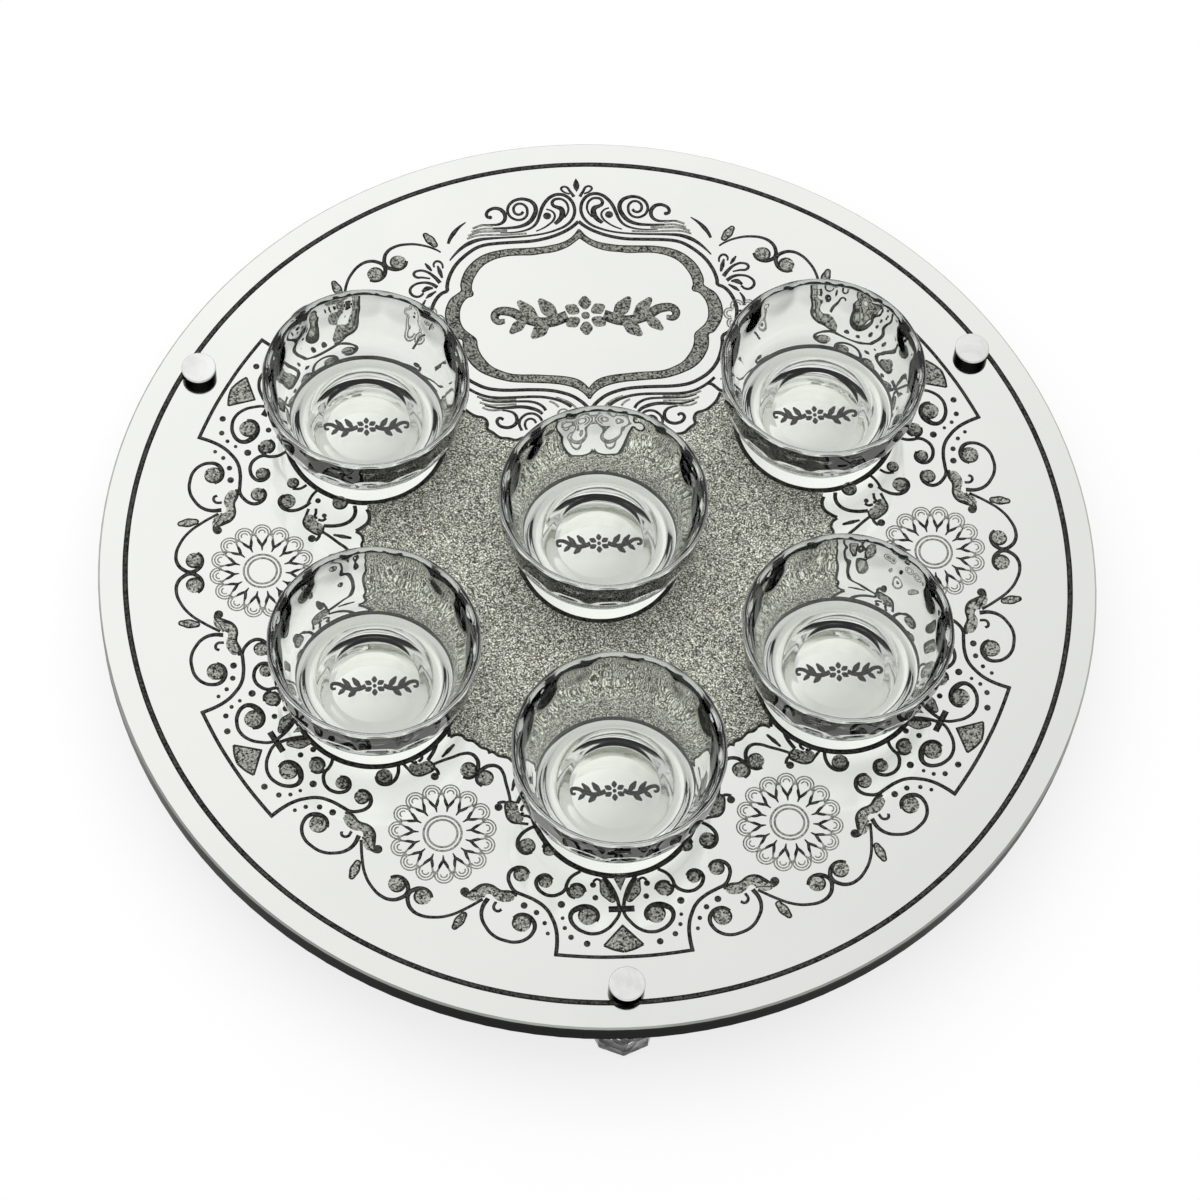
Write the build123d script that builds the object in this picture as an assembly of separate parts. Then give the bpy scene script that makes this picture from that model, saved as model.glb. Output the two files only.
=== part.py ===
from build123d import *
import math
import os

# A round serving plate for six dishes, in millimetres.
# The origin is on the table under the plate's centre, +Z is up, and the front of the plate is at -Y.
# A mirror pane lies on a black board. Three studs clamp them between screw caps above and cut
# crystal feet below, and six loose glass bowls stand on the pane.

# Plate
plate_diameter = 400.0
board_thickness = 8.0
board_edge_rounding = 0.8
pane_thickness = 3.0
pane_edge_chamfer = 0.8

# Studs, and the holes that they pass through
stud_diameter = 5.0
stud_end_chamfer = 0.4
stud_edge_distance = 16.5
stud_angles = {"left": 150.0, "right": 30.0, "front": 270.0}
thread_clearance = 0.05
passage_clearance = 0.5

# Screw caps, and the clear washers in them
cap_diameter = 14.0
cap_height = 5.2
cap_crown = 1.2
cap_edge_rounding = 0.5
cap_top_gap = 0.3
washer_diameter = 11.0
washer_thickness = 0.6
washer_clearance = 0.2

# Cut crystal feet
foot_height = 30.0
foot_sides = 8
foot_girdle_diameter = 27.0
foot_girdle_height = 4.5
foot_top_diameter = 20.0
foot_base_diameter = 21.0

# Threaded inserts in the feet
insert_diameter = 9.0
insert_length = 14.0
insert_floor = 2.0
insert_clearance = 0.05

# Pads under the feet
pad_diameter = 16.0
pad_thickness = 1.5
pad_edge_rounding = 0.4

# Glass bowls
bowl_rim_diameter = 83.0
bowl_height = 42.0
bowl_base_diameter = 55.0
bowl_rim_wall = 2.5
bowl_floor = 8.4
bowl_floor_edge_height = 11.8
bowl_floor_edge_diameter = 60.0
bowl_floor_edge_rounding = 9.0
bowl_rim_rounding = 1.1
bowl_base_rounding = 0.8
bowl_recess_diameter = 40.4
bowl_recess_depth = 1.2

# The upright flats on a bowl, measured across opposite flats
bowl_facets = 16
bowl_flats_span_at_pane = 74.2
bowl_flats_span_at_brim = 82.6

# Where the walls of a bowl bulge most, as shares of their height and of their flare
outer_bulge_height_share = 0.45
outer_bulge_flare_share = 0.75
inner_bulge_height_share = 0.5
inner_bulge_flare_share = 0.57

# Centres of the bowls, as shares of the plate's radius
bowl_place_shares = {
    "bowl_back_left": (-0.4575, 0.3175),
    "bowl_back_right": (0.4575, 0.3175),
    "bowl_front_left": (-0.4585, -0.2675),
    "bowl_front_right": (0.4585, -0.2675),
    "bowl_front": (0.0, -0.51),
    "bowl_centre": (0.0, 0.035),
}

# One overrun for every cut
overrun = 1.0

# Heights above the table, and the circle of the studs
foot_bottom = pad_thickness
board_bottom = foot_bottom + foot_height
pane_bottom = board_bottom + board_thickness
pane_top = pane_bottom + pane_thickness
plate_radius = plate_diameter / 2
stud_circle_radius = plate_radius - stud_edge_distance
insert_bottom = board_bottom - insert_length
stud_bottom = insert_bottom + insert_floor
cap_bore_top = pane_top + cap_height - cap_crown
stud_top = cap_bore_top - cap_top_gap


def upright_cylinder(diameter, bottom, top):
    """A cylinder on the Z axis between two heights."""
    base = Plane.XY.offset(bottom)
    return extrude(base * Circle(diameter / 2), top - bottom)


def at_stud(solid, angle):
    """A copy of a solid from the Z axis, moved out to a stud and turned to face outward."""
    return Rot(0, 0, angle) * Pos(stud_circle_radius, 0, 0) * solid


def top_edges(solid):
    return solid.edges().group_by(Axis.Z)[-1]


def bottom_edges(solid):
    return solid.edges().group_by(Axis.Z)[0]


def with_stud_holes(disc, bottom, top):
    """A disc with one clear hole for each stud."""
    hole = upright_cylinder(stud_diameter + 2 * passage_clearance, bottom - overrun, top + overrun)
    for angle in stud_angles.values():
        disc -= at_stud(hole, angle)
    return disc


def make_board():
    disc = upright_cylinder(plate_diameter, board_bottom, pane_bottom)
    disc = fillet(bottom_edges(disc), board_edge_rounding)
    return with_stud_holes(disc, board_bottom, pane_bottom)


def make_pane():
    disc = upright_cylinder(plate_diameter, pane_bottom, pane_top)
    disc = chamfer(top_edges(disc), pane_edge_chamfer)
    return with_stud_holes(disc, pane_bottom, pane_top)


def make_stud():
    rod = upright_cylinder(stud_diameter, stud_bottom, stud_top)
    return chamfer(top_edges(rod) + bottom_edges(rod), stud_end_chamfer)


def make_cap():
    """A flat round cap with a blind threaded bore and a seat for its washer."""
    body = upright_cylinder(cap_diameter, pane_top, pane_top + cap_height)
    body = fillet(top_edges(body), cap_edge_rounding)
    seat_diameter = washer_diameter + 2 * washer_clearance
    body -= upright_cylinder(seat_diameter, pane_top - overrun, pane_top + washer_thickness)
    bore_diameter = stud_diameter + 2 * thread_clearance
    return body - upright_cylinder(bore_diameter, pane_top - overrun, cap_bore_top)


def make_washer():
    disc = upright_cylinder(washer_diameter, pane_top, pane_top + washer_thickness)
    bore_diameter = stud_diameter + 2 * passage_clearance
    return disc - upright_cylinder(bore_diameter, pane_top - overrun, pane_top + washer_thickness + overrun)


def foot_ring(diameter, height, turn):
    """The corners of one level of a foot, anticlockwise from the given turn."""
    corners = []
    for side in range(foot_sides):
        angle = math.radians(turn + side * 360 / foot_sides)
        corners.append(Vector(diameter / 2 * math.cos(angle), diameter / 2 * math.sin(angle), height))
    return corners


def flat_face(corners):
    return Face(Wire.make_polygon(corners, close=True))


def make_foot():
    """A cut crystal: a short flare up to its girdle, then triangular facets up to a smaller top."""
    base = foot_ring(foot_base_diameter, foot_bottom, 0)
    girdle = foot_ring(foot_girdle_diameter, foot_bottom + foot_girdle_height, 0)
    top = foot_ring(foot_top_diameter, board_bottom, 180 / foot_sides)
    faces = [flat_face(base[::-1]), flat_face(top)]
    for side in range(foot_sides):
        after = (side + 1) % foot_sides
        faces.append(flat_face([base[side], base[after], girdle[after], girdle[side]]))
        faces.append(flat_face([girdle[side], girdle[after], top[side]]))
        faces.append(flat_face([girdle[after], top[after], top[side]]))
    crystal = Solid(Shell(faces))
    pocket_diameter = insert_diameter + 2 * insert_clearance
    return crystal - upright_cylinder(pocket_diameter, insert_bottom, board_bottom + overrun)


def make_insert():
    """A blind threaded bush that fills the pocket in a foot."""
    bush = upright_cylinder(insert_diameter, insert_bottom, board_bottom)
    bore_diameter = stud_diameter + 2 * thread_clearance
    return bush - upright_cylinder(bore_diameter, stud_bottom, board_bottom + overrun)


def make_pad():
    disc = upright_cylinder(pad_diameter, 0, pad_thickness)
    return fillet(bottom_edges(disc), pad_edge_rounding)


def bulged_wall(foot, top, height_share, flare_share):
    """A wall from its foot to its top, bulging out through a point given by its shares."""
    bulge = tuple(
        low + share * (high - low)
        for low, high, share in zip(foot, top, (flare_share, height_share))
    )
    return ThreePointArc(foot, bulge, top)


def round_corner(section, corner, rounding):
    """The section with one corner rounded, the corner given by its radius and height."""
    radius, height = corner
    nearest = section.vertices().sort_by_distance((radius, 0, height))[0]
    return fillet(nearest, rounding)


def bowl_section():
    """Half of a bowl's section, in the XZ plane, standing on the pane."""
    base = bowl_base_diameter / 2
    recess = bowl_recess_diameter / 2
    brim = pane_top + bowl_height
    inner_floor = pane_top + bowl_floor
    base_corner = (base, pane_top)
    outer_corner = (bowl_rim_diameter / 2, brim)
    inner_brim_corner = (bowl_rim_diameter / 2 - bowl_rim_wall, brim)
    floor_corner = (bowl_floor_edge_diameter / 2, pane_top + bowl_floor_edge_height)
    outer_wall = bulged_wall(
        base_corner, outer_corner, outer_bulge_height_share, outer_bulge_flare_share
    )
    inner_wall = bulged_wall(
        floor_corner, inner_brim_corner, inner_bulge_height_share, inner_bulge_flare_share
    )
    lip = Line(outer_corner, inner_brim_corner)
    dished_floor = TangentArc((0, inner_floor), floor_corner, tangent=(1, 0))
    foot = Polyline(
        (0, inner_floor),
        (0, pane_top + bowl_recess_depth),
        (recess, pane_top + bowl_recess_depth),
        (recess, pane_top),
        base_corner,
    )
    section = make_face(Plane.XZ * (outer_wall + lip + inner_wall + dished_floor + foot))
    section = fillet(section.vertices().group_by(Axis.Z)[-1], bowl_rim_rounding)
    section = round_corner(section, floor_corner, bowl_floor_edge_rounding)
    return round_corner(section, base_corner, bowl_base_rounding)


def make_bowl():
    """A thick round bowl whose outer wall is cut into leaning flats near the rim."""
    turned = revolve(bowl_section(), Axis.Z)
    spread = (bowl_flats_span_at_brim - bowl_flats_span_at_pane) / 2 / bowl_height
    lowest = RegularPolygon(
        bowl_flats_span_at_pane / 2 - spread * overrun,
        bowl_facets,
        major_radius=False,
        rotation=180 / bowl_facets,
    )
    flats = extrude(
        Plane.XY.offset(pane_top - overrun) * lowest,
        bowl_height + 2 * overrun,
        taper=-math.degrees(math.atan(spread)),
    )
    return turned & flats


def main():
    nodes = {"base_board": make_board(), "mirror_pane": make_pane()}
    stud_pieces = {
        "screw_cap": make_cap(),
        "cap_washer": make_washer(),
        "stud": make_stud(),
        "foot": make_foot(),
        "foot_insert": make_insert(),
        "foot_pad": make_pad(),
    }
    for side, angle in stud_angles.items():
        for name, solid in stud_pieces.items():
            nodes[f"{name}_{side}"] = at_stud(solid, angle)
    bowl = make_bowl()
    for name, (x_share, y_share) in bowl_place_shares.items():
        nodes[name] = Pos(x_share * plate_radius, y_share * plate_radius, 0) * bowl
    os.makedirs("parts", exist_ok=True)
    for name, solid in nodes.items():
        export_step(solid, f"parts/{name}.step")


main()
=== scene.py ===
import logging
import math
from collections.abc import Callable
from dataclasses import dataclass, field
from enum import Enum

import bpy
from mathutils import Matrix, Vector


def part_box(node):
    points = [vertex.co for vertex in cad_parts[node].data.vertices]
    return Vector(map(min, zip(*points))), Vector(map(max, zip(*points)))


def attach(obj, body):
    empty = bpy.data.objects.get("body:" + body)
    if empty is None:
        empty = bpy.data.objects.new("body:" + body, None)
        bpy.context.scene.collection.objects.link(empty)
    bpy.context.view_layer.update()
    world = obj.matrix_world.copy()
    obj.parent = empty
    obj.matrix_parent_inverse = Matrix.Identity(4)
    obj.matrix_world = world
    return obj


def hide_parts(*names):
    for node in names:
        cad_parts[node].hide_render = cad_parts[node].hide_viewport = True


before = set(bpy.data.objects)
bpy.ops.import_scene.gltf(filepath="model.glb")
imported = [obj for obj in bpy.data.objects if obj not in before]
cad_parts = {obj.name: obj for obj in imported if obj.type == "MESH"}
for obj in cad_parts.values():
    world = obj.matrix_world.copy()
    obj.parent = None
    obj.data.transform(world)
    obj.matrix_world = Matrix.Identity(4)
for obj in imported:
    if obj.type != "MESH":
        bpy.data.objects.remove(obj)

log = logging.getLogger("serving_plate")

MM = 0.001
PLATE_BODY = "plate"
PANE_SLOT = "mirror"
PANE_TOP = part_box("mirror_pane")[1].z

# How much bolder every stroke is drawn than its written width
LINE_WEIGHT = 1.35

# The refractive index of a dark gloss that stays black when seen at a slant
DARK_GLOSS_BEND = 1.06

# How near to zero a length in metres counts as zero
TINY = 0.000001

Point = tuple[float, float]
Tone = tuple[float, float, float]
Direction = tuple[float, float, float]


class Layer(Enum):
    """Heights above the pane, in millimetres, of the layers of etched work."""

    FIELD = 0.03
    TONE = 0.05
    LINE = 0.08


class Side(Enum):
    """Which way a half panel is laid."""

    AS_DRAWN = 1
    MIRRORED = -1


# Node helpers


class Nodes:
    """A small hand for laying out shader nodes and their links."""

    def __init__(self, tree: bpy.types.NodeTree) -> None:
        """Keeps the tree that nodes go into.

        Args:
            tree: The node tree of a material, a world or a group.
        """
        self.tree = tree

    def add(self, kind: str, settings: dict | None = None, **inputs: object) -> bpy.types.Node:
        """Adds a node, sets its properties and fills or links its inputs.

        Args:
            kind: The node's type name.
            settings: Properties of the node itself.
            inputs: Values or output sockets by input name, with _ for a space.

        Returns:
            The new node.
        """
        node = self.tree.nodes.new(kind)
        for name, value in (settings or {}).items():
            setattr(node, name, value)
        for name, value in inputs.items():
            self.feed(node.inputs[name.replace("_", " ")], value)
        return node

    def feed(self, socket: bpy.types.NodeSocket, value: object) -> None:
        """Links an output socket into an input, or sets the input's value."""
        if isinstance(value, bpy.types.NodeSocket):
            self.tree.links.new(value, socket)
        else:
            socket.default_value = value

    def maths(self, operation: str, *values: object, clamp: bool = False) -> bpy.types.NodeSocket:
        """Adds a Math node.

        Args:
            operation: The operation's name.
            values: Its inputs in order.
            clamp: Keeps the result between 0 and 1.

        Returns:
            The result socket.
        """
        node = self.tree.nodes.new("ShaderNodeMath")
        node.operation = operation
        node.use_clamp = clamp
        for socket, value in zip(node.inputs, values):
            self.feed(socket, value)
        return node.outputs[0]

    def ramp(self, value: bpy.types.NodeSocket, low: float, high: float,
             to_low: float = 0.0, to_high: float = 1.0) -> bpy.types.NodeSocket:
        """Maps a value from one range to another, smoothly and clamped.

        Args:
            value: The socket to read.
            low: The value that gives to_low.
            high: The value that gives to_high.
            to_low: The result at low.
            to_high: The result at high.

        Returns:
            The mapped value's socket.
        """
        node = self.tree.nodes.new("ShaderNodeMapRange")
        node.interpolation_type = "SMOOTHSTEP"
        for socket, given in zip(node.inputs, (value, low, high, to_low, to_high)):
            self.feed(socket, given)
        return node.outputs[0]

    def blend(self, share: object, first: object, second: object) -> bpy.types.NodeSocket:
        """Mixes two colours.

        Args:
            share: How much of the second colour shows.
            first: The colour at 0.
            second: The colour at 1.

        Returns:
            The mixed colour's socket.
        """
        node = self.tree.nodes.new("ShaderNodeMix")
        node.data_type = "RGBA"
        share_at, first_at, second_at, result_at = 0, 6, 7, 2
        self.feed(node.inputs[share_at], share)
        self.feed(node.inputs[first_at], first)
        self.feed(node.inputs[second_at], second)
        return node.outputs[result_at]

    def along(self, heading: bpy.types.NodeSocket, toward: Direction) -> bpy.types.NodeSocket:
        """Gives how far a heading points in a direction, as the cosine between them."""
        node = self.add("ShaderNodeVectorMath", {"operation": "DOT_PRODUCT"})
        self.feed(node.inputs[0], heading)
        self.feed(node.inputs[1], toward)
        return node.outputs["Value"]

    def place(self) -> bpy.types.NodeSocket:
        """Gives the object coordinates, which are the frame's own metres."""
        return self.tree.nodes.new("ShaderNodeTexCoord").outputs["Object"]

    def height(self) -> bpy.types.NodeSocket:
        """Gives the height above the table, in metres."""
        return self.add("ShaderNodeSeparateXYZ", Vector=self.place()).outputs["Z"]


def shade(value: float) -> float:
    """Turns a picture tone from 0 to 255 into the linear value, by the sRGB curve."""
    tone = value / 255
    return tone / 12.92 if tone <= 0.04045 else ((tone + 0.055) / 1.055) ** 2.4


def colour(red: float, green: float, blue: float) -> tuple[float, float, float, float]:
    """Turns a picture colour from 0 to 255 into the linear colour a shader takes."""
    return (shade(red), shade(green), shade(blue), 1.0)


def new_group(name: str, inputs: dict[str, float], outputs: tuple[str, ...]) -> bpy.types.NodeTree:
    """Starts a shared node group that reads a place on the piece.

    Args:
        name: The group's name.
        inputs: Its number inputs with their defaults.
        outputs: Its number outputs.

    Returns:
        The group's node tree, with its input and output nodes in place.
    """
    tree = bpy.data.node_groups.new(name, "ShaderNodeTree")
    tree.interface.new_socket("Vector", in_out="INPUT", socket_type="NodeSocketVector")
    for label, value in inputs.items():
        socket = tree.interface.new_socket(label, in_out="INPUT", socket_type="NodeSocketFloat")
        socket.default_value = value
    for label in outputs:
        tree.interface.new_socket(label, in_out="OUTPUT", socket_type="NodeSocketFloat")
    tree.nodes.new("NodeGroupInput")
    tree.nodes.new("NodeGroupOutput")
    return tree


def etched_grain() -> bpy.types.NodeTree:
    """The grain of etched glass: fine crystals in patches, from 0 to 1."""
    name = "etched_grain"
    if name in bpy.data.node_groups:
        return bpy.data.node_groups[name]
    crystal_part, mottle_part, middle, mottle_scale = 0.55, 0.9, 0.72, 0.7
    tree = new_group(name, {"Scale": 1500.0, "Contrast": 1.0}, ("Grain",))
    nodes = Nodes(tree)
    given, result = tree.nodes["Group Input"], tree.nodes["Group Output"]
    crystals = nodes.add("ShaderNodeTexVoronoi", {"feature": "F1"},
                         Vector=given.outputs["Vector"], Scale=given.outputs["Scale"])
    coarser = nodes.maths("MULTIPLY", given.outputs["Scale"], mottle_scale)
    mottle = nodes.add("ShaderNodeTexNoise", Vector=given.outputs["Vector"], Scale=coarser,
                       Detail=3.0, Roughness=0.65)
    tint = nodes.add("ShaderNodeSeparateColor", Color=crystals.outputs["Color"])
    mixed = nodes.maths("ADD", nodes.maths("MULTIPLY", tint.outputs[0], crystal_part),
                        nodes.maths("MULTIPLY", mottle.outputs["Fac"], mottle_part))
    centred = nodes.maths("SUBTRACT", mixed, middle)
    spread = nodes.maths("MULTIPLY", centred, given.outputs["Contrast"])
    nodes.feed(result.inputs["Grain"], nodes.maths("ADD", spread, 0.5, clamp=True))
    return tree


def hand_marks() -> bpy.types.NodeTree:
    """Faint wiping marks and dust that vary the gloss of polished pieces."""
    name = "hand_marks"
    if name in bpy.data.node_groups:
        return bpy.data.node_groups[name]
    speck_ratio, mark_range, dust_range, dust_level = 40.0, (0.4, 0.65), (0.62, 0.75), 0.5
    tree = new_group(name, {"Scale": 20.0, "Least": 0.05, "Most": 0.12}, ("Roughness", "Marks"))
    nodes = Nodes(tree)
    given, result = tree.nodes["Group Input"], tree.nodes["Group Output"]
    clouds = nodes.add("ShaderNodeTexNoise", Vector=given.outputs["Vector"],
                       Scale=given.outputs["Scale"], Detail=4.0, Roughness=0.6, Distortion=0.6)
    speck_scale = nodes.maths("MULTIPLY", given.outputs["Scale"], speck_ratio)
    specks = nodes.add("ShaderNodeTexNoise", Vector=given.outputs["Vector"], Scale=speck_scale,
                       Detail=2.0)
    marks = nodes.ramp(clouds.outputs["Fac"], *mark_range)
    dust = nodes.ramp(specks.outputs["Fac"], *dust_range, 0.0, dust_level)
    both = nodes.maths("ADD", marks, dust, clamp=True)
    reach = nodes.maths("SUBTRACT", given.outputs["Most"], given.outputs["Least"])
    rough = nodes.maths("ADD", given.outputs["Least"], nodes.maths("MULTIPLY", both, reach))
    nodes.feed(result.inputs["Roughness"], rough)
    nodes.feed(result.inputs["Marks"], both)
    return tree


# Finishes


@dataclass(frozen=True)
class Finish:
    """What every finish has: a name, and a material made once.

    Tones are picture colours from 0 to 255. Reliefs, heights and depths are in millimetres.
    """

    name: str

    def material(self) -> bpy.types.Material:
        """Gives the finish's material, made the first time it is asked for."""
        name = f"dressed_{self.name}"
        found = bpy.data.materials.get(name)
        if found is not None:
            return found
        made = bpy.data.materials.new(name)
        made.use_nodes = True
        made.node_tree.nodes.clear()
        nodes = Nodes(made.node_tree)
        shader = nodes.add("ShaderNodeBsdfPrincipled")
        self.lay(nodes, shader)
        output = nodes.add("ShaderNodeOutputMaterial")
        nodes.feed(output.inputs["Surface"], shader.outputs[0])
        return made

    def lay(self, nodes: Nodes, shader: bpy.types.Node) -> None:
        """Sets the shader's sockets; each kind of finish does its own."""

    def group(self, nodes: Nodes, tree: bpy.types.NodeTree, **inputs: object) -> bpy.types.Node:
        """Places a shared group that reads the object coordinates.

        Args:
            nodes: The material's nodes.
            tree: The shared group.
            inputs: Values for its inputs.

        Returns:
            The group node.
        """
        node = nodes.add("ShaderNodeGroup", {"node_tree": tree})
        nodes.feed(node.inputs["Vector"], nodes.place())
        for label, value in inputs.items():
            nodes.feed(node.inputs[label], value)
        return node

    def ripple(self, nodes: Nodes, shader: bpy.types.Node, height: bpy.types.NodeSocket,
               strength: float, depth: float) -> None:
        """Feeds a height into the shader's normal through a bump.

        Args:
            nodes: The material's nodes.
            shader: The shader that takes the normal.
            height: The height socket.
            strength: The bump's strength.
            depth: Its depth in millimetres.
        """
        bump = nodes.add("ShaderNodeBump", Strength=strength, Distance=depth * MM, Height=height)
        nodes.feed(shader.inputs["Normal"], bump.outputs[0])


@dataclass(frozen=True)
class EtchedFinish(Finish):
    """Dark etched glass: grains of two tones, with a slight relief."""

    dark: Tone
    light: Tone
    contrast: float
    grain_scale: float = 1500.0
    darkening: float = 1.0
    dark_roughness: float = 0.75
    light_roughness: float = 0.5
    shine: float = 0.25
    relief: float = 0.06

    def lay(self, nodes: Nodes, shader: bpy.types.Node) -> None:
        """Mixes the two tones by the grain."""
        group = self.group(nodes, etched_grain(), Scale=self.grain_scale, Contrast=self.contrast)
        grain = group.outputs["Grain"]
        share = nodes.maths("POWER", grain, self.darkening)
        tone = nodes.blend(share, colour(*self.dark), colour(*self.light))
        nodes.feed(shader.inputs["Base Color"], tone)
        nodes.feed(shader.inputs["Roughness"],
                   nodes.ramp(grain, 0, 1, self.dark_roughness, self.light_roughness))
        shader.inputs["Specular IOR Level"].default_value = self.shine
        self.ripple(nodes, shader, grain, strength=0.5, depth=self.relief)


@dataclass(frozen=True)
class MirrorFinish(Finish):
    """A silvered pane: a mirror on its top and chamfer, dark down its edge.

    The two depths, in millimetres below the top, are where the edge turns to chamfer and the
    chamfer to flat.
    """

    silver: Tone = (250, 251, 247)
    wiped: Tone = (240, 242, 238)
    bevel: Tone = (176, 178, 172)
    edge: Tone = (14, 18, 16)
    wiped_share: float = 0.25
    edge_depths: Point = (0.95, 0.7)
    bevel_depths: Point = (0.08, 0.02)

    def above(self, nodes: Nodes, depths: Point) -> bpy.types.NodeSocket:
        """Gives a mask that fades in upward between two depths below the pane's top."""
        return nodes.ramp(nodes.height(), *(PANE_TOP - depth * MM for depth in depths))

    def lay(self, nodes: Nodes, shader: bpy.types.Node) -> None:
        """Splits the top from the edge by height, and varies the gloss."""
        marks = self.group(nodes, hand_marks(), Scale=9.0, Least=0.07, Most=0.11)
        top = self.above(nodes, self.edge_depths)
        flat = self.above(nodes, self.bevel_depths)
        wiped = nodes.blend(nodes.maths("MULTIPLY", marks.outputs["Marks"], self.wiped_share),
                            colour(*self.silver), colour(*self.wiped))
        upper = nodes.blend(flat, colour(*self.bevel), wiped)
        nodes.feed(shader.inputs["Base Color"], nodes.blend(top, colour(*self.edge), upper))
        nodes.feed(shader.inputs["Metallic"], top)
        nodes.feed(shader.inputs["Roughness"], marks.outputs["Roughness"])
        shader.inputs["IOR"].default_value = DARK_GLOSS_BEND


@dataclass(frozen=True)
class LacquerFinish(Finish):
    """Black gloss lacquer with faint wiping marks and orange peel."""

    tone: Tone = (7, 7, 7)
    wiped: Tone = (13, 13, 12)
    peel_scale: float = 700.0
    peel_depth: float = 0.1

    def lay(self, nodes: Nodes, shader: bpy.types.Node) -> None:
        """Varies tone and gloss a little over the board."""
        marks = self.group(nodes, hand_marks(), Scale=14.0, Least=0.18, Most=0.32)
        tone = nodes.blend(marks.outputs["Marks"], colour(*self.tone), colour(*self.wiped))
        nodes.feed(shader.inputs["Base Color"], tone)
        nodes.feed(shader.inputs["Roughness"], marks.outputs["Roughness"])
        shader.inputs["IOR"].default_value = DARK_GLOSS_BEND
        peel = nodes.add("ShaderNodeTexNoise", Vector=nodes.place(), Scale=self.peel_scale,
                         Detail=1.0)
        self.ripple(nodes, shader, peel.outputs["Fac"], strength=0.15, depth=self.peel_depth)


@dataclass(frozen=True)
class MetalFinish(Finish):
    """Polished or turned metal, its roughness between least and most."""

    tone: Tone
    wiped_share: float = 0.93
    least: float = 0.05
    most: float = 0.12
    turning_scale: float = 0.0
    turning_depth: float = 0.2

    def lay(self, nodes: Nodes, shader: bpy.types.Node) -> None:
        """Sets the metal's colour, its varied gloss and any turning lines."""
        marks = self.group(nodes, hand_marks(), Scale=60.0, Least=self.least, Most=self.most)
        wiped = tuple(part * self.wiped_share for part in self.tone)
        nodes.feed(shader.inputs["Base Color"],
                   nodes.blend(marks.outputs["Marks"], colour(*self.tone), colour(*wiped)))
        shader.inputs["Metallic"].default_value = 1.0
        nodes.feed(shader.inputs["Roughness"], marks.outputs["Roughness"])
        if self.turning_scale:
            lines = nodes.add("ShaderNodeTexWave", {"bands_direction": "Z"}, Vector=nodes.place(),
                              Scale=self.turning_scale)
            self.ripple(nodes, shader, lines.outputs["Fac"], strength=0.4,
                        depth=self.turning_depth)


@dataclass(frozen=True)
class CapFinish(MetalFinish):
    """Polished metal whose side, up to a set height above the pane, carries a painted dark
    reflection of the room.
    """

    # side is the colour of the painted dark reflection on the cap's side, not the metal's own
    # colour
    side: Tone = (34, 34, 33)
    painted_reflection_top: float = 4.6
    painted_reflection_fade: float = 0.3
    side_shine: float = 0.4

    def lay(self, nodes: Nodes, shader: bpy.types.Node) -> None:
        """Paints a dark reflection of the room on the side below the rounded edge."""
        super().lay(nodes, shader)
        # Mask of the painted dark reflection: zero down the side, one on the rounded top
        top = nodes.ramp(nodes.height(), PANE_TOP + (self.painted_reflection_top - self.painted_reflection_fade) * MM,
                         PANE_TOP + self.painted_reflection_top * MM)
        bright = shader.inputs["Base Color"].links[0].from_socket
        nodes.feed(shader.inputs["Base Color"], nodes.blend(top, colour(*self.side), bright))
        shader.inputs["Specular Tint"].default_value = (self.side_shine,) * 3 + (1,)


@dataclass(frozen=True)
class GlassFinish(Finish):
    """Clear glass with the slight waviness of pressed work."""

    tone: Tone = (252, 253, 251)
    wiped: Tone = (246, 248, 245)
    wiped_share: float = 0.3
    bend: float = 1.5
    wave_scale: float = 60.0
    wave_depth: float = 0.4

    def lay(self, nodes: Nodes, shader: bpy.types.Node) -> None:
        """Sets clear glass, with its surface in the normal."""
        marks = self.group(nodes, hand_marks(), Scale=30.0, Least=0.0, Most=0.03)
        faint = nodes.maths("MULTIPLY", marks.outputs["Marks"], self.wiped_share)
        tone = nodes.blend(faint, colour(*self.tone), colour(*self.wiped))
        nodes.feed(shader.inputs["Base Color"], tone)
        nodes.feed(shader.inputs["Roughness"], marks.outputs["Roughness"])
        shader.inputs["Transmission Weight"].default_value = 1.0
        shader.inputs["IOR"].default_value = self.bend
        self.surface(nodes, shader)

    def surface(self, nodes: Nodes, shader: bpy.types.Node) -> None:
        """Gives the glass its slow waves."""
        wave = nodes.add("ShaderNodeTexNoise", Vector=nodes.place(), Scale=self.wave_scale,
                         Detail=1.0)
        self.ripple(nodes, shader, wave.outputs["Fac"], strength=0.3, depth=self.wave_depth)


@dataclass(frozen=True)
class CutGlassFinish(GlassFinish):
    """Clear glass with fine cuts over its facets."""

    cut_scale: float = 200.0
    cut_depth: float = 1.0

    def surface(self, nodes: Nodes, shader: bpy.types.Node) -> None:
        """Gives the glass its cuts."""
        cuts = nodes.add("ShaderNodeTexVoronoi", {"feature": "F1"}, Vector=nodes.place(),
                         Scale=self.cut_scale)
        self.ripple(nodes, shader, cuts.outputs["Distance"], strength=1.0, depth=self.cut_depth)


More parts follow.
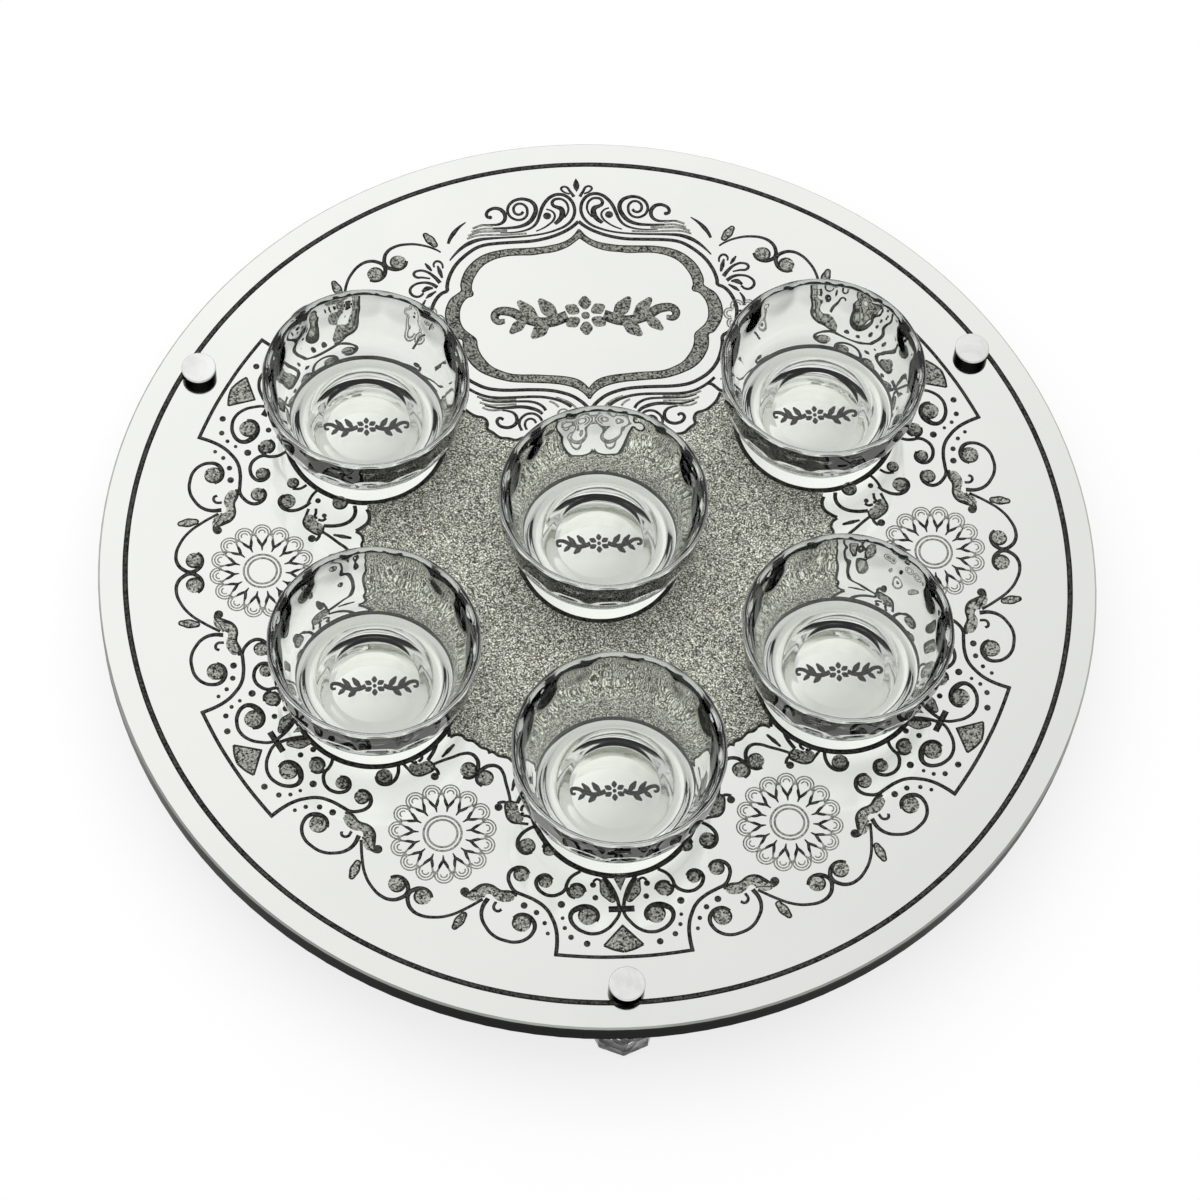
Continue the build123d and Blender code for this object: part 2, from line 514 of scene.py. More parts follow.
@dataclass(frozen=True)
class SoftClearFinish(Finish):
    """Milky clear rubber or plastic, its roughness from least up."""

    least: float
    spread: float = 0.15
    tone: Tone = (214, 218, 216)
    cloudy: Tone = (232, 235, 233)
    clearness: float = 0.6
    cloud_scale: float = 400.0
    cloud_range: Point = (0.3, 0.7)

    def lay(self, nodes: Nodes, shader: bpy.types.Node) -> None:
        """Sets a milky, partly clear body."""
        cloud = nodes.add("ShaderNodeTexNoise", Vector=nodes.place(), Scale=self.cloud_scale,
                          Detail=3.0)
        tone = nodes.blend(cloud.outputs["Fac"], colour(*self.tone), colour(*self.cloudy))
        nodes.feed(shader.inputs["Base Color"], tone)
        shader.inputs["Transmission Weight"].default_value = self.clearness
        nodes.feed(shader.inputs["Roughness"],
                   nodes.ramp(cloud.outputs["Fac"], *self.cloud_range, self.least,
                              self.least + self.spread))


FIELD_FINISH = EtchedFinish("etched_field", dark=(52, 53, 46), light=(247, 249, 234),
                            contrast=1.9, grain_scale=2500.0, darkening=2.2)
LINE_FINISH = EtchedFinish("etched_line", dark=(10, 10, 9), light=(66, 66, 61), contrast=2.0)
TONE_FINISH = EtchedFinish("etched_tone", dark=(30, 30, 27), light=(172, 173, 165), contrast=2.2)
BAND_FINISH = EtchedFinish("etched_band", dark=(26, 26, 23), light=(146, 147, 139), contrast=2.2)
HAIR_FINISH = EtchedFinish("etched_hairline", dark=(90, 90, 86), light=(170, 170, 164),
                           contrast=1.5)
MIRROR_FINISH = MirrorFinish("silvered_pane")
LACQUER_FINISH = LacquerFinish("black_lacquer")
CHROME_FINISH = CapFinish("chrome", tone=(250, 251, 249))
STEEL_FINISH = MetalFinish("turned_steel", tone=(176, 176, 178), least=0.25, most=0.4,
                           turning_scale=400.0)
BRASS_FINISH = MetalFinish("turned_brass", tone=(205, 174, 104), least=0.2, most=0.35,
                           turning_scale=400.0)
BOWL_FINISH = GlassFinish("bowl_glass")
CRYSTAL_FINISH = CutGlassFinish("foot_crystal", bend=1.6)
PAD_FINISH = SoftClearFinish("clear_pad", tone=(236, 239, 237), least=0.08, clearness=0.95)
WASHER_FINISH = SoftClearFinish("clear_washer", least=0.25)


# Drawing


@dataclass(frozen=True)
class Stroke:
    """A drawn line: the points it passes through and its width along the way, in millimetres."""

    points: tuple[Point, ...]
    widths: tuple[float, ...] = (1.0,)
    closed: bool = False
    sharp: bool = False

    def width_at(self, share: float) -> float:
        """Gives the width at a share of the stroke's points."""
        if len(self.widths) == 1:
            return self.widths[0]
        place = share * (len(self.widths) - 1)
        first = min(int(place), len(self.widths) - 2)
        rest = place - first
        return self.widths[first] * (1 - rest) + self.widths[first + 1] * rest


def dot(x: float, y: float, radius: float) -> Stroke:
    """A round dot as a closed outline to be filled."""
    turns = [math.radians(step * 45) for step in range(8)]
    return Stroke(tuple((x + radius * math.cos(t), y + radius * math.sin(t)) for t in turns),
                  closed=True)


def leaf(start: Point, end: Point, width: float, lean: float = 0.0) -> Stroke:
    """A pointed leaf between two tips as a closed outline to be filled.

    Args:
        start: One tip.
        end: The other tip.
        width: Its greatest width.
        lean: How far its middle is pushed to the left.

    Returns:
        The outline.
    """
    along = Vector((end[0] - start[0], end[1] - start[1]))
    across = Vector((-along.y, along.x)).normalized()
    base = Vector(start)
    points = []
    for share, side in ((0, 0), (0.3, 0.8), (0.5, 1), (0.75, 0.7), (1, 0),
                        (0.75, -0.7), (0.5, -1), (0.3, -0.8)):
        push = lean * math.sin(math.pi * share)
        place = base + along * share + across * (side * width / 2 + push)
        points.append((place.x, place.y))
    return Stroke(tuple(points), closed=True)


def arc(x: float, y: float, radius: float, start: float, end: float, width: float = 1.0,
        steps: int = 6) -> Stroke:
    """A round stroke about a centre, between two angles in degrees."""
    turns = [math.radians(start + (end - start) * step / steps) for step in range(steps + 1)]
    return Stroke(tuple((x + radius * math.cos(t), y + radius * math.sin(t)) for t in turns),
                  (width,))


def ring(x: float, y: float, radius: float, width: float, steps: int) -> Stroke:
    """A closed round line about a centre."""
    return Stroke(arc(x, y, radius, 0, 360, steps=steps).points[:-1], (width,), closed=True)


@dataclass(frozen=True)
class Curl:
    """The round end of a scroll: a speckled middle with a dark rim that leaves it open."""

    x: float
    y: float
    radius: float
    opening: float = 250.0

    def middle(self) -> Stroke:
        """The speckled middle, a little inside the rim's outer edge."""
        return dot(self.x, self.y, self.radius - 0.2)

    def rim(self) -> Stroke:
        """The dark rim, thin at its two ends."""
        inset, half_opening, steps = 0.35, 45, 7
        turn = arc(self.x, self.y, self.radius - inset, self.opening + half_opening,
                   self.opening + 360 - half_opening, steps=steps)
        return Stroke(turn.points, (0.4, 0.9, 1.1, 1.0, 0.4))


@dataclass(frozen=True)
class Drawing:
    """Lines, filled shapes and hairlines that are laid out together."""

    lines: tuple[Stroke, ...] = ()
    solids: tuple[Stroke, ...] = ()
    hairs: tuple[Stroke, ...] = ()


class Hand:
    """Makes meshes from strokes with Blender's curves and edit tools."""

    @staticmethod
    def clear_selection() -> None:
        """Deselects everything, so that an operator acts only on what is meant."""
        if bpy.context.object and bpy.context.object.mode != "OBJECT":
            bpy.ops.object.mode_set(mode="OBJECT")
        bpy.ops.object.select_all(action="DESELECT")

    @classmethod
    def take(cls, *pieces: bpy.types.Object) -> None:
        """Selects only the given pieces and makes the first the active one."""
        cls.clear_selection()
        for piece in pieces:
            piece.select_set(True)
        bpy.context.view_layer.objects.active = pieces[0]

    @classmethod
    def curve_piece(cls, name: str, strokes: tuple[Stroke, ...], filled: bool,
                    steps: int) -> bpy.types.Object:
        """Makes one flat mesh from strokes.

        Args:
            name: The piece's name.
            strokes: The strokes to draw.
            filled: Fills closed outlines instead of drawing along them.
            steps: How finely each stretch between two points is rounded.

        Returns:
            The mesh object, at the origin, in the XY plane.
        """
        curve = bpy.data.curves.new(name, "CURVE")
        curve.dimensions = "2D" if filled else "3D"
        curve.resolution_u = steps
        if filled:
            curve.fill_mode = "BOTH"
            curve.extrude = 0.5 * MM
        else:
            curve.twist_mode = "Z_UP"
            curve.bevel_depth = MM
            curve.bevel_resolution = 0
            curve.use_fill_caps = True
        for stroke in strokes:
            cls.add_spline(curve, stroke)
        piece = bpy.data.objects.new(name, curve)
        bpy.context.scene.collection.objects.link(piece)
        cls.take(piece)
        bpy.ops.object.convert(target="MESH")
        return bpy.context.object

    @staticmethod
    def add_spline(curve: bpy.types.Curve, stroke: Stroke) -> None:
        """Adds one stroke to a curve as a smooth or a sharp spline."""
        spline = curve.splines.new("BEZIER")
        count = len(stroke.points)
        spline.bezier_points.add(count - 1)
        handle = "VECTOR" if stroke.sharp else "AUTO"
        for index, (knot, place) in enumerate(zip(spline.bezier_points, stroke.points)):
            knot.co = (place[0] * MM, place[1] * MM, 0)
            knot.handle_left_type = knot.handle_right_type = handle
            knot.radius = stroke.width_at(index / max(count - 1, 1)) * LINE_WEIGHT / 2
        spline.use_cyclic_u = stroke.closed

    @classmethod
    def line_work(cls, name: str, strokes: tuple[Stroke, ...], height: float,
                  steps: int = 5) -> bpy.types.Object:
        """Makes drawn lines as low ridges on the pane.

        Args:
            name: The piece's name.
            strokes: The lines.
            height: How far they stand above the pane, in millimetres.
            steps: How finely they are rounded.

        Returns:
            The mesh object.
        """
        piece = cls.curve_piece(name, strokes, filled=False, steps=steps)
        for vertex in piece.data.vertices:
            vertex.co.z = PANE_TOP + (height * MM if vertex.co.z > TINY else 0.0)
        return piece

    @classmethod
    def filled_work(cls, name: str, strokes: tuple[Stroke, ...], height: float,
                    steps: int = 3) -> bpy.types.Object:
        """Makes filled shapes as thin plates on the pane.

        Args:
            name: The piece's name.
            strokes: The closed outlines.
            height: How far they stand above the pane, in millimetres.
            steps: How finely they are rounded.

        Returns:
            The mesh object.
        """
        piece = cls.curve_piece(name, strokes, filled=True, steps=steps)
        for vertex in piece.data.vertices:
            vertex.co.z = PANE_TOP + (height * MM if vertex.co.z > 0 else 0.0)
        return piece

    @classmethod
    def copy(cls, piece: bpy.types.Object, name: str, change: Matrix) -> bpy.types.Object:
        """Copies a piece with its own mesh and lays the copy elsewhere.

        Args:
            piece: The piece to copy.
            name: The copy's name.
            change: The turn or mirror that places it.

        Returns:
            The copy, at the origin, with its place in its mesh.
        """
        made = piece.copy()
        made.data = piece.data.copy()
        made.name = made.data.name = name
        bpy.context.scene.collection.objects.link(made)
        made.data.transform(change)
        if change.determinant() < 0:
            cls.turn_outward(made)
        return made

    @classmethod
    def turn_outward(cls, piece: bpy.types.Object) -> None:
        """Merges a piece's doubled points, then turns its faces outward."""
        cls.take(piece)
        bpy.ops.object.mode_set(mode="EDIT")
        bpy.ops.mesh.select_all(action="SELECT")
        bpy.ops.mesh.remove_doubles(threshold=TINY)
        bpy.ops.mesh.normals_make_consistent(inside=False)
        bpy.ops.object.mode_set(mode="OBJECT")

    @classmethod
    def join(cls, name: str, pieces: list[bpy.types.Object]) -> bpy.types.Object:
        """Joins pieces into the first one, under a name."""
        cls.take(*pieces)
        if len(pieces) > 1:
            bpy.ops.object.join()
        made = bpy.context.object
        made.name = made.data.name = name
        return made

    @classmethod
    def drop_faces(cls, piece: bpy.types.Object,
                   unwanted: Callable[[float, float], bool]) -> None:
        """Deletes the faces of a piece whose middle is in unwanted ground.

        Args:
            piece: The piece to trim.
            unwanted: A test of a face's middle, x and y in millimetres.
        """
        cls.take(piece)
        bpy.ops.object.mode_set(mode="EDIT")
        bpy.ops.mesh.select_mode(type="FACE")
        bpy.ops.mesh.select_all(action="DESELECT")
        bpy.ops.object.mode_set(mode="OBJECT")
        for face in piece.data.polygons:
            face.select = unwanted(face.center.x / MM, face.center.y / MM)
        bpy.ops.object.mode_set(mode="EDIT")
        bpy.ops.mesh.delete(type="FACE")
        bpy.ops.object.mode_set(mode="OBJECT")

    @classmethod
    def finish_piece(cls, piece: bpy.types.Object, finish: Finish, body: str,
                     slot: str) -> bpy.types.Object:
        """Gives a piece its finish and the body that it rides on."""
        piece.data.materials.clear()
        piece.data.materials.append(finish.material())
        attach(piece, body)
        return piece

    @classmethod
    def etch(cls, piece: bpy.types.Object, finish: Finish) -> bpy.types.Object:
        """Finishes a piece of etched work, which belongs to the pane."""
        return cls.finish_piece(piece, finish, PLATE_BODY, PANE_SLOT)


def turned(degrees: float, side: Side = Side.AS_DRAWN) -> Matrix:
    """A turn about the plate's axis, after a mirror across the YZ plane if asked for."""
    flip = Matrix.Diagonal((side.value, 1, 1, 1))
    return Matrix.Rotation(math.radians(degrees), 4, "Z") @ flip


# The ornament of half a panel, drawn from the panel's axis at the plate's front (x = 0)
# to the axis of the next rosette, which lies 30 degrees on. The vine's end, with its curl and
# leaf, is drawn again beside the cartouche.

VINE = Stroke(((53, -144.8), (60, -148.6), (66, -151), (72, -151.6), (77.5, -150.4), (80.5, -148),
               (81.7, -145), (81.3, -141.5), (79, -139.8), (76, -139.6), (73.5, -141.3),
               (72.8, -143.6)), (0.9, 0.9, 1.2, 1.4, 1.5))
VINE_CURL = Curl(75.9, -143, 3.4, 230)
VINE_LEAF = leaf((60, -150.3), (64.7, -156.5), 3.4)
VINE_LEAF_EDGE = Stroke(leaf((60, -150.3), (64.7, -156.5), 3.0).points, (0.8,), closed=True)

SCALLOP_LINES = (
    Stroke(((23, -93.2), (25, -91), (28, -90), (31.5, -91), (34, -92.4)), (1.4,)),
    Stroke(((34, -92.4), (34.4, -89.6), (36, -87.8)), (1.2,)),
    Stroke(((36, -87.8), (38.5, -87.3), (40.4, -85.4), (42.4, -84.8), (44.4, -84.2),
            (46.5, -82.6), (48.4, -82.9)), (1.1,)),
)

PANEL_LINES = (
    Stroke(((0, -170.6), (9, -170.4), (18, -169.7), (26.7, -168.7)), (1.1,)),
    Stroke(((26.2, -169.4), (25.4, -163), (25.6, -158), (26.7, -154), (29, -149.5), (33, -146),
            (37.5, -143.6), (40.5, -142), (42.3, -139), (42.8, -136), (42, -133.8), (40, -132.4),
            (38, -132.2), (36, -133.2), (35.2, -135)), (1.2, 1.1, 1.1, 1.1, 1.3, 1.6)),
    Stroke(((48, -146), (49, -148.5), (47.5, -150), (46, -149.3)), (0.9,)),
    Stroke(((51, -144.5), (53.2, -148), (53.8, -152), (52.5, -156), (49.5, -160), (45, -162.3),
            (41, -163), (37, -161.8), (34.5, -159.3), (33.6, -156.5), (34.5, -154), (36.5, -152.3),
            (39.3, -152), (41.5, -153.4)), (1.4, 1.0, 1.0, 1.1, 1.5, 1.5)),
    VINE,
    Stroke(((0.8, -149), (0.9, -152.5), (3, -156), (6.5, -159.3), (11, -160.7), (15, -159.8),
            (18.3, -157.3), (19.8, -154), (19.3, -151.8), (17.3, -150.2), (14, -149.6),
            (11, -150.7), (9.6, -153.2), (10.4, -155.6)), (1.0, 1.0, 1.1, 1.4, 2.2, 1.6)),
    Stroke(((0.8, -150), (1.6, -146), (3.6, -141), (6, -137.5), (8.4, -134.8)), (1.1,)),
    Stroke(((15, -134.6), (18.5, -136.7), (20.3, -139.3), (21.3, -142), (24, -143.9),
            (27, -144.3), (30, -143), (32, -140.3), (32, -137.6), (30, -135.9), (27.8, -136),
            (26.2, -138)), (1.0, 1.1, 1.1, 1.2, 1.6)),
    Stroke(((20.5, -141.2), (19.6, -144.4), (17.5, -145.7)), (1.0,)),
    Stroke(((13.9, -143.4), (14.6, -141.2), (16.8, -140.2), (19, -141)), (1.5,)),
    Stroke(((6.8, -139.4), (8.8, -138.1), (10.4, -139.2)), (0.8,)),
    Stroke(((2.4, -147), (3.4, -143.4), (5, -140.4), (6.6, -138.4)), (1.0,)),
    Stroke(((-0.2, -150.8), (5, -150.8)), (1.9,)),
    Stroke(((-0.3, -157.6), (7.4, -165.8)), (0.9,), sharp=True),
    Stroke(((7.5, -165.5), (4, -167.2), (0, -168.3)), (1.0,)),
    Stroke(((31, -114.8), (34, -116), (37.2, -118.5), (38.6, -121.5), (38, -124.5),
            (35.8, -126.1), (33.2, -125.4)), (1.0, 1.2, 1.5)),
    Stroke(((24.5, -115), (28, -115.7), (32, -115.5)), (0.9,)),
    Stroke(((24.8, -120), (27.5, -121.5), (29, -124.2)), (0.9,)),
    Stroke(((38, -105), (41.8, -104.5), (42.5, -108), (40.8, -112.5), (37, -113.5), (34, -114)),
           (0.9,)),
    Stroke(((32.5, -111.5), (34.5, -110.5), (36.5, -110), (35.8, -109)), (0.9,)),
    Stroke(((36.6, -108.4), (36, -106.5), (34.5, -105.8)), (0.9,)),
    Stroke(((41.5, -106), (42.5, -104.5), (44, -104.3), (45.6, -104.8)), (1.0,)),
    Stroke(((38, -105), (35.5, -100.5), (32.5, -97.5), (29.5, -96.4), (26.5, -96.8), (24, -98.5)),
           (1.2,)),
    Stroke(((40.3, -106.5), (41, -101), (42, -96), (42.8, -92), (44.5, -89.3), (47.5, -88.5),
            (50.5, -89.7), (52.6, -92.2), (52.9, -95), (51, -97)), (0.9, 1.0, 1.3, 1.5)),
) + SCALLOP_LINES

PANEL_SOLIDS = (
    dot(37.3, -148, 1.35), dot(32.7, -151.1, 1.1), dot(29.8, -155.6, 0.9), dot(28.8, -159.9, 0.8),
    dot(14, -164.7, 1.3), dot(20, -161.8, 1.1), dot(22.2, -157.9, 0.85), dot(22.8, -153.8, 0.75),
    dot(23, -148.1, 1.45), dot(9.8, -145.8, 1.15), dot(10.4, -140.4, 1.2), dot(29, -112.5, 1.15),
    dot(33.8, -107, 1.0), dot(45.3, -106.4, 1.6), dot(59.8, -141.4, 1.8),
    leaf((37.6, -92.4), (39.8, -99.8), 1.7),
)

PANEL_EDGES = (
    VINE_LEAF_EDGE,
    Stroke(leaf((2.6, -147.6), (6.8, -138.4), 3.4, -1.2).points, (0.5,), closed=True),
    Stroke(((39.8, -143.8), (42.5, -142.4), (46, -141.8), (50, -139.2), (53.2, -139.2),
            (56.2, -141), (59, -142.6), (61, -142.4)), (1.0, 1.4, 0.9, 1.2, 1.4, 0.9, 0.7)),
    Stroke(((52.2, -143.6), (55.5, -143.4), (58.6, -143.6), (60.6, -142.8)), (0.8, 1.0, 0.6)),
)

PANEL_CURLS = (
    Curl(37.6, -135.2, 3.0, 230), Curl(38.6, -155.5, 3.6, 260), VINE_CURL,
    Curl(13.2, -153.5, 3.7, 290), Curl(28.6, -138.6, 2.6, 260), Curl(16.8, -142.9, 3.1, 265),
    Curl(34.8, -122.9, 3.2, 120), Curl(26.5, -125.5, 2.4), Curl(25.5, -104.5, 3.1),
    Curl(49.9, -94, 3.3),
)

PANEL_TONES = (
    dot(45.3, -106.2, 1.0), VINE_LEAF, leaf((2.6, -147.6), (6.8, -138.4), 3.4, -1.2),
    Stroke(((0, -136.2), (3.1, -136.4), (1.5, -140), (0, -143.4)), closed=True, sharp=True),
    Stroke(((40.8, -144.9), (42.5, -142.2), (46, -141.6), (50, -139.4), (53.2, -139.6),
            (55.6, -141.6), (58.2, -142.3), (59, -143.8), (56.5, -145.3), (53.5, -144.4),
            (50.5, -142.6), (47.8, -145.2), (44.5, -146.3)), closed=True),
    Stroke(((38.2, -105.2), (41.6, -104.8), (42.2, -108), (40.6, -112.2), (37, -113.2),
            (35.8, -111), (37.4, -108.6)), closed=True),
    Stroke(((0, -158), (7.2, -165.6), (4, -167), (0, -168)), closed=True, sharp=True),
)


def rosette_drawing(x: float, y: float) -> Drawing:
    """A fifteen-petal rosette: a double ring, forked strokes and double lobes.

    Args:
        x: The middle's x.
        y: The middle's y.

    Returns:
        The drawing.
    """
    petals, first_petal, lobe_reach, forks, lobes = 15, -84.5, 17.2, [], []
    for index in range(petals):
        angle = first_petal + index * 360 / petals
        turn = math.radians(angle)
        out = Vector((math.cos(turn), math.sin(turn)))
        side = Vector((-out.y, out.x))

        def at(reach: float, off: float) -> Point:
            """A place at a reach from the middle and an offset to the side."""
            spot = Vector((x, y)) + out * reach + side * off
            return (spot.x, spot.y)

        forks.append(Stroke((at(9.2, 0), at(11.9, 0)), (0.35, 0.95)))
        for hand in (-1, 1):
            forks.append(Stroke((at(11.3, 0), at(12.6, 0.8 * hand), at(13.9, 1.5 * hand),
                                 at(15.2, 1.9 * hand)), (0.8, 0.95, 0.9, 0.3)))
            lobes.append(Stroke((at(14.4, 1.7 * hand), at(15.8, 2.4 * hand),
                                 at(17.3, 3.5 * hand)), (0.5, 0.6, 0.45)))
        for radius, spread in ((3.6, 112), (2.5, 105), (1.3, 95)):
            lobes.append(arc(*at(lobe_reach, 0), radius, angle - spread, angle + spread, 0.42))
    rings = [arc(x, y, radius, 0, 360, 0.62, 16) for radius in (7.35, 5.75)]
    return Drawing(lines=tuple(forks), hairs=tuple(lobes + rings))


# The cartouche at the plate's back, drawn for x >= 0 and mirrored

BAND_OUTER = (
    (0, 157), (2.5, 153.6), (5, 151.6), (8, 150.2), (12, 149.2), (16, 148.5), (20, 148.2),
    (25, 148), (30, 147.8), (34, 147.2), (38, 146.2), (42, 144.3), (45.5, 141.3), (48, 138),
    (49.5, 134.5), (50.3, 131), (50.2, 128.4), (52, 126.6), (54.5, 124.6), (56.2, 121.5),
    (57.1, 118), (57.1, 114.5), (56.2, 111), (54.5, 108), (52.8, 105.8), (50.8, 104.8),
    (50.5, 102), (50, 98.5), (48.5, 95), (46.5, 92), (43.5, 89.2), (40, 87.3), (36, 85.7),
    (31, 84.4), (26, 84), (20, 83.6), (15, 83.2), (10, 82.3), (6, 80.9), (3, 79), (1, 76.8),
    (0, 75.2),
)
BAND_INNER = (
    (0, 153), (2, 151.3), (4.5, 149.3), (8, 147.5), (12, 146.3), (16, 145.8), (20, 145.2),
    (25, 145.2), (30, 145), (34, 144.2), (38, 142.6), (41.5, 140), (44, 136.5), (45.8, 132.5),
    (46.3, 129), (45.8, 126.2), (48.2, 125), (50.2, 122.5), (51.4, 119.5), (51.8, 116),
    (51.4, 112.5), (50, 109.5), (47.5, 107), (45.4, 104.8), (45, 101.5), (44, 98), (42, 94.5),
    (39.5, 91.5), (36, 89.4), (32, 87.8), (28, 87.2), (22, 87), (16, 86.5), (11, 86), (7, 85.2),
    (4, 84), (1.5, 81.8), (0, 79.8),
)
FIRST_LINE = (
    (0, 161), (2, 159), (5, 156.8), (8, 155.2), (12, 153.6), (16, 152.5), (20, 151.8),
    (25, 151.5), (30, 151.3), (35, 151), (40, 150.3), (43, 149.2), (46, 147.2), (49, 144.6),
    (52, 141.2), (54, 137.8), (55.5, 134), (56.2, 130.5), (56.3, 128.6), (58.5, 127.3),
    (60.5, 125.2), (62.2, 122), (63.2, 118.5), (63.4, 115.5), (62.9, 112), (61.6, 108.5),
    (59.3, 105.5), (56.8, 103.6), (56.3, 100), (55.4, 96), (53.4, 91), (50, 86.5), (46, 83.5),
    (42, 81.5), (38, 80.6), (33, 80.2), (28, 80.2), (22, 80.1), (16, 79.6), (11, 78.4),
    (7, 76.7), (4, 74.5), (2, 72.5), (0.5, 70.5),
)

CARTOUCHE_FOOT = Stroke(
    ((54, 76.6), (52.4, 73.2), (50.2, 70.6), (47, 68.3), (43.4, 67), (42.4, 64.8),
     (42.6, 62.3), (40.5, 60.5), (37.5, 58), (34, 57.4), (31, 56.6), (27.5, 57.6),
     (24, 56.2), (21, 54.4), (18, 55), (15.6, 57), (13.6, 54.6), (11.2, 52), (8.2, 51.3),
     (5, 51), (2.4, 52), (0, 54)), (1.2,))
CREST_LINES = (
    Stroke(FIRST_LINE, (1.2,)),
    Stroke(((54.6, 143.2), (52, 146.5), (49, 149.5), (46, 151.5), (42, 153), (38, 153.5),
            (32, 153.8), (25, 154.1), (18, 154.8), (13, 155.8), (9, 157.2), (5.5, 159),
            (3, 161.5), (1.6, 164.5), (1.4, 168), (2.6, 171.5), (4.8, 173.8), (7.5, 174.6),
            (10.5, 173.8), (13, 171.5), (14.8, 168.5), (16, 165), (17.2, 161.5), (19, 159),
            (22, 157.3), (27, 156.3), (33, 156.2)),
           (0.5, 1.5, 0.8, 0.7, 1.0, 1.1, 1.2, 1.2, 0.9, 0.4)),
    Stroke(((36, 158.4), (28, 158.6), (24, 159.3), (20.8, 161), (18.6, 164), (17.6, 167.5),
            (18.8, 170.8), (21.5, 172.4), (24.5, 172.6), (27.5, 171.2), (29.3, 168.3),
            (29, 165), (27, 162.9), (24.2, 162.4), (21.9, 163.9), (21.2, 166.5), (21.8, 169),
            (24, 170.4), (26.3, 169.4), (26.9, 167), (25.8, 165.2), (24, 165.2), (22.9, 166.4)),
           (0.8, 1.6, 1.2, 0.9, 0.9, 0.9, 1.0)),
    Stroke(((41, 160.3), (36.5, 160.2), (33.5, 160.4), (31.5, 161.6), (30.6, 164), (31.5, 166.8),
            (33.8, 168.3), (36.5, 167.9), (38.3, 166), (38, 164.2), (36.6, 163.7)),
           (0.5, 1.1, 1.4, 1.1, 1.1)),
    Stroke(((10, 160), (7.9, 162), (6.6, 164.6), (7, 167.4), (8.6, 168.2), (10.3, 169.3),
            (10.3, 171.3), (8, 172.4), (5.5, 171.5), (4, 168.5), (4.3, 165.5), (5.8, 163)),
           (1.2, 2.0, 1.2, 1.0, 0.8, 0.6)),
    Stroke(((18, 156.6), (15, 158), (12.2, 160), (10.4, 162), (9.8, 164.5), (11, 166.4),
            (13.2, 167.4)), (0.5, 0.8, 0.6)),
    Stroke(((47.2, 161.8), (50, 159.5), (52.5, 156.5), (54, 154), (55, 151.4)), (0.4, 1.5, 0.9)),
    Stroke(((1.2, 173.2), (2.6, 175.6), (4.6, 178.3), (6.4, 177.6), (5.6, 175.9), (3, 174.6)),
           (1.1, 0.8, 0.8, 0.6)),
    Stroke(((57.6, 139.4), (58, 141.8), (59.8, 143), (61.3, 141.8), (61.2, 140)), (0.6, 0.9, 0.6)),
    Stroke(((59, 132.4), (61.2, 135.3), (64.5, 138), (67.5, 138.6), (69.7, 137.3), (69, 135.6),
            (66, 135.2), (63, 134.6)), (1.4, 0.8, 1.0, 0.6)),
    Stroke(((60.2, 130.3), (63, 132.2), (66.5, 132.7), (70, 131.5), (71.6, 129), (70.5, 126.6),
            (68, 126), (66, 127.6)), (1.3, 0.8, 1.0, 0.8)),
    Stroke(((62, 130), (64.5, 129.8), (66.6, 128.2)), (0.7, 1.8, 0.9)),
    Stroke(((60.8, 128.4), (63.5, 126.5), (65.2, 125)), (0.6, 1.3, 0.5)),
    Stroke(((65.3, 124.4), (66.7, 121.3), (66.5, 118)), (0.5, 1.1, 0.6)),
    Stroke(((52, 83.9), (50, 82), (46, 79.2), (42, 77.5), (38, 76.8), (33, 76.7), (28, 76.8),
            (22, 76.8), (17, 76.2), (13, 75), (10, 73.4), (7.6, 71.6)), (1.0,)),
    Stroke(((44, 76), (40, 74.9), (35, 74.7), (28, 74.8), (24, 74.5), (21, 73.4), (19, 71.7),
            (18.2, 70.2)), (0.5, 0.9, 1.0)),
    Stroke(((43, 73.2), (38, 72), (33, 72), (28, 72.2), (24, 71.4), (21, 70), (19.6, 68.6)),
           (0.5, 1.1, 1.3, 1.0)),
    Stroke(((36, 70.8), (33.5, 70.4), (31.3, 69.3), (30.2, 67), (30.7, 64.5), (32.8, 62.9),
            (35.5, 62.8), (37.8, 64.2), (38.2, 66.2), (37, 67.2), (35.6, 66.4)),
           (0.6, 1.2, 1.1, 1.0)),
    Stroke(((28.4, 61), (29.3, 64.5), (27.6, 67.7), (24.4, 69), (21.4, 67.8), (19.9, 65.4)),
           (0.9,)),
    Stroke(((26.4, 61.4), (27, 64.2), (25.6, 66.3), (23.4, 66.1), (22.4, 64.4)), (0.8,)),
    CARTOUCHE_FOOT,
)

CREST_SOLIDS = (
    Stroke(((0, 175.6), (1.1, 177.4), (1.4, 179), (0.9, 180.8), (0, 182.4)), closed=True,
           sharp=True), dot(13, 164, 1.7), dot(36.9, 163.9, 0.9),
    leaf((58, 134.6), (59.8, 140.9), 1.9), leaf((62.2, 138.2), (65, 142.2), 1.6),
)

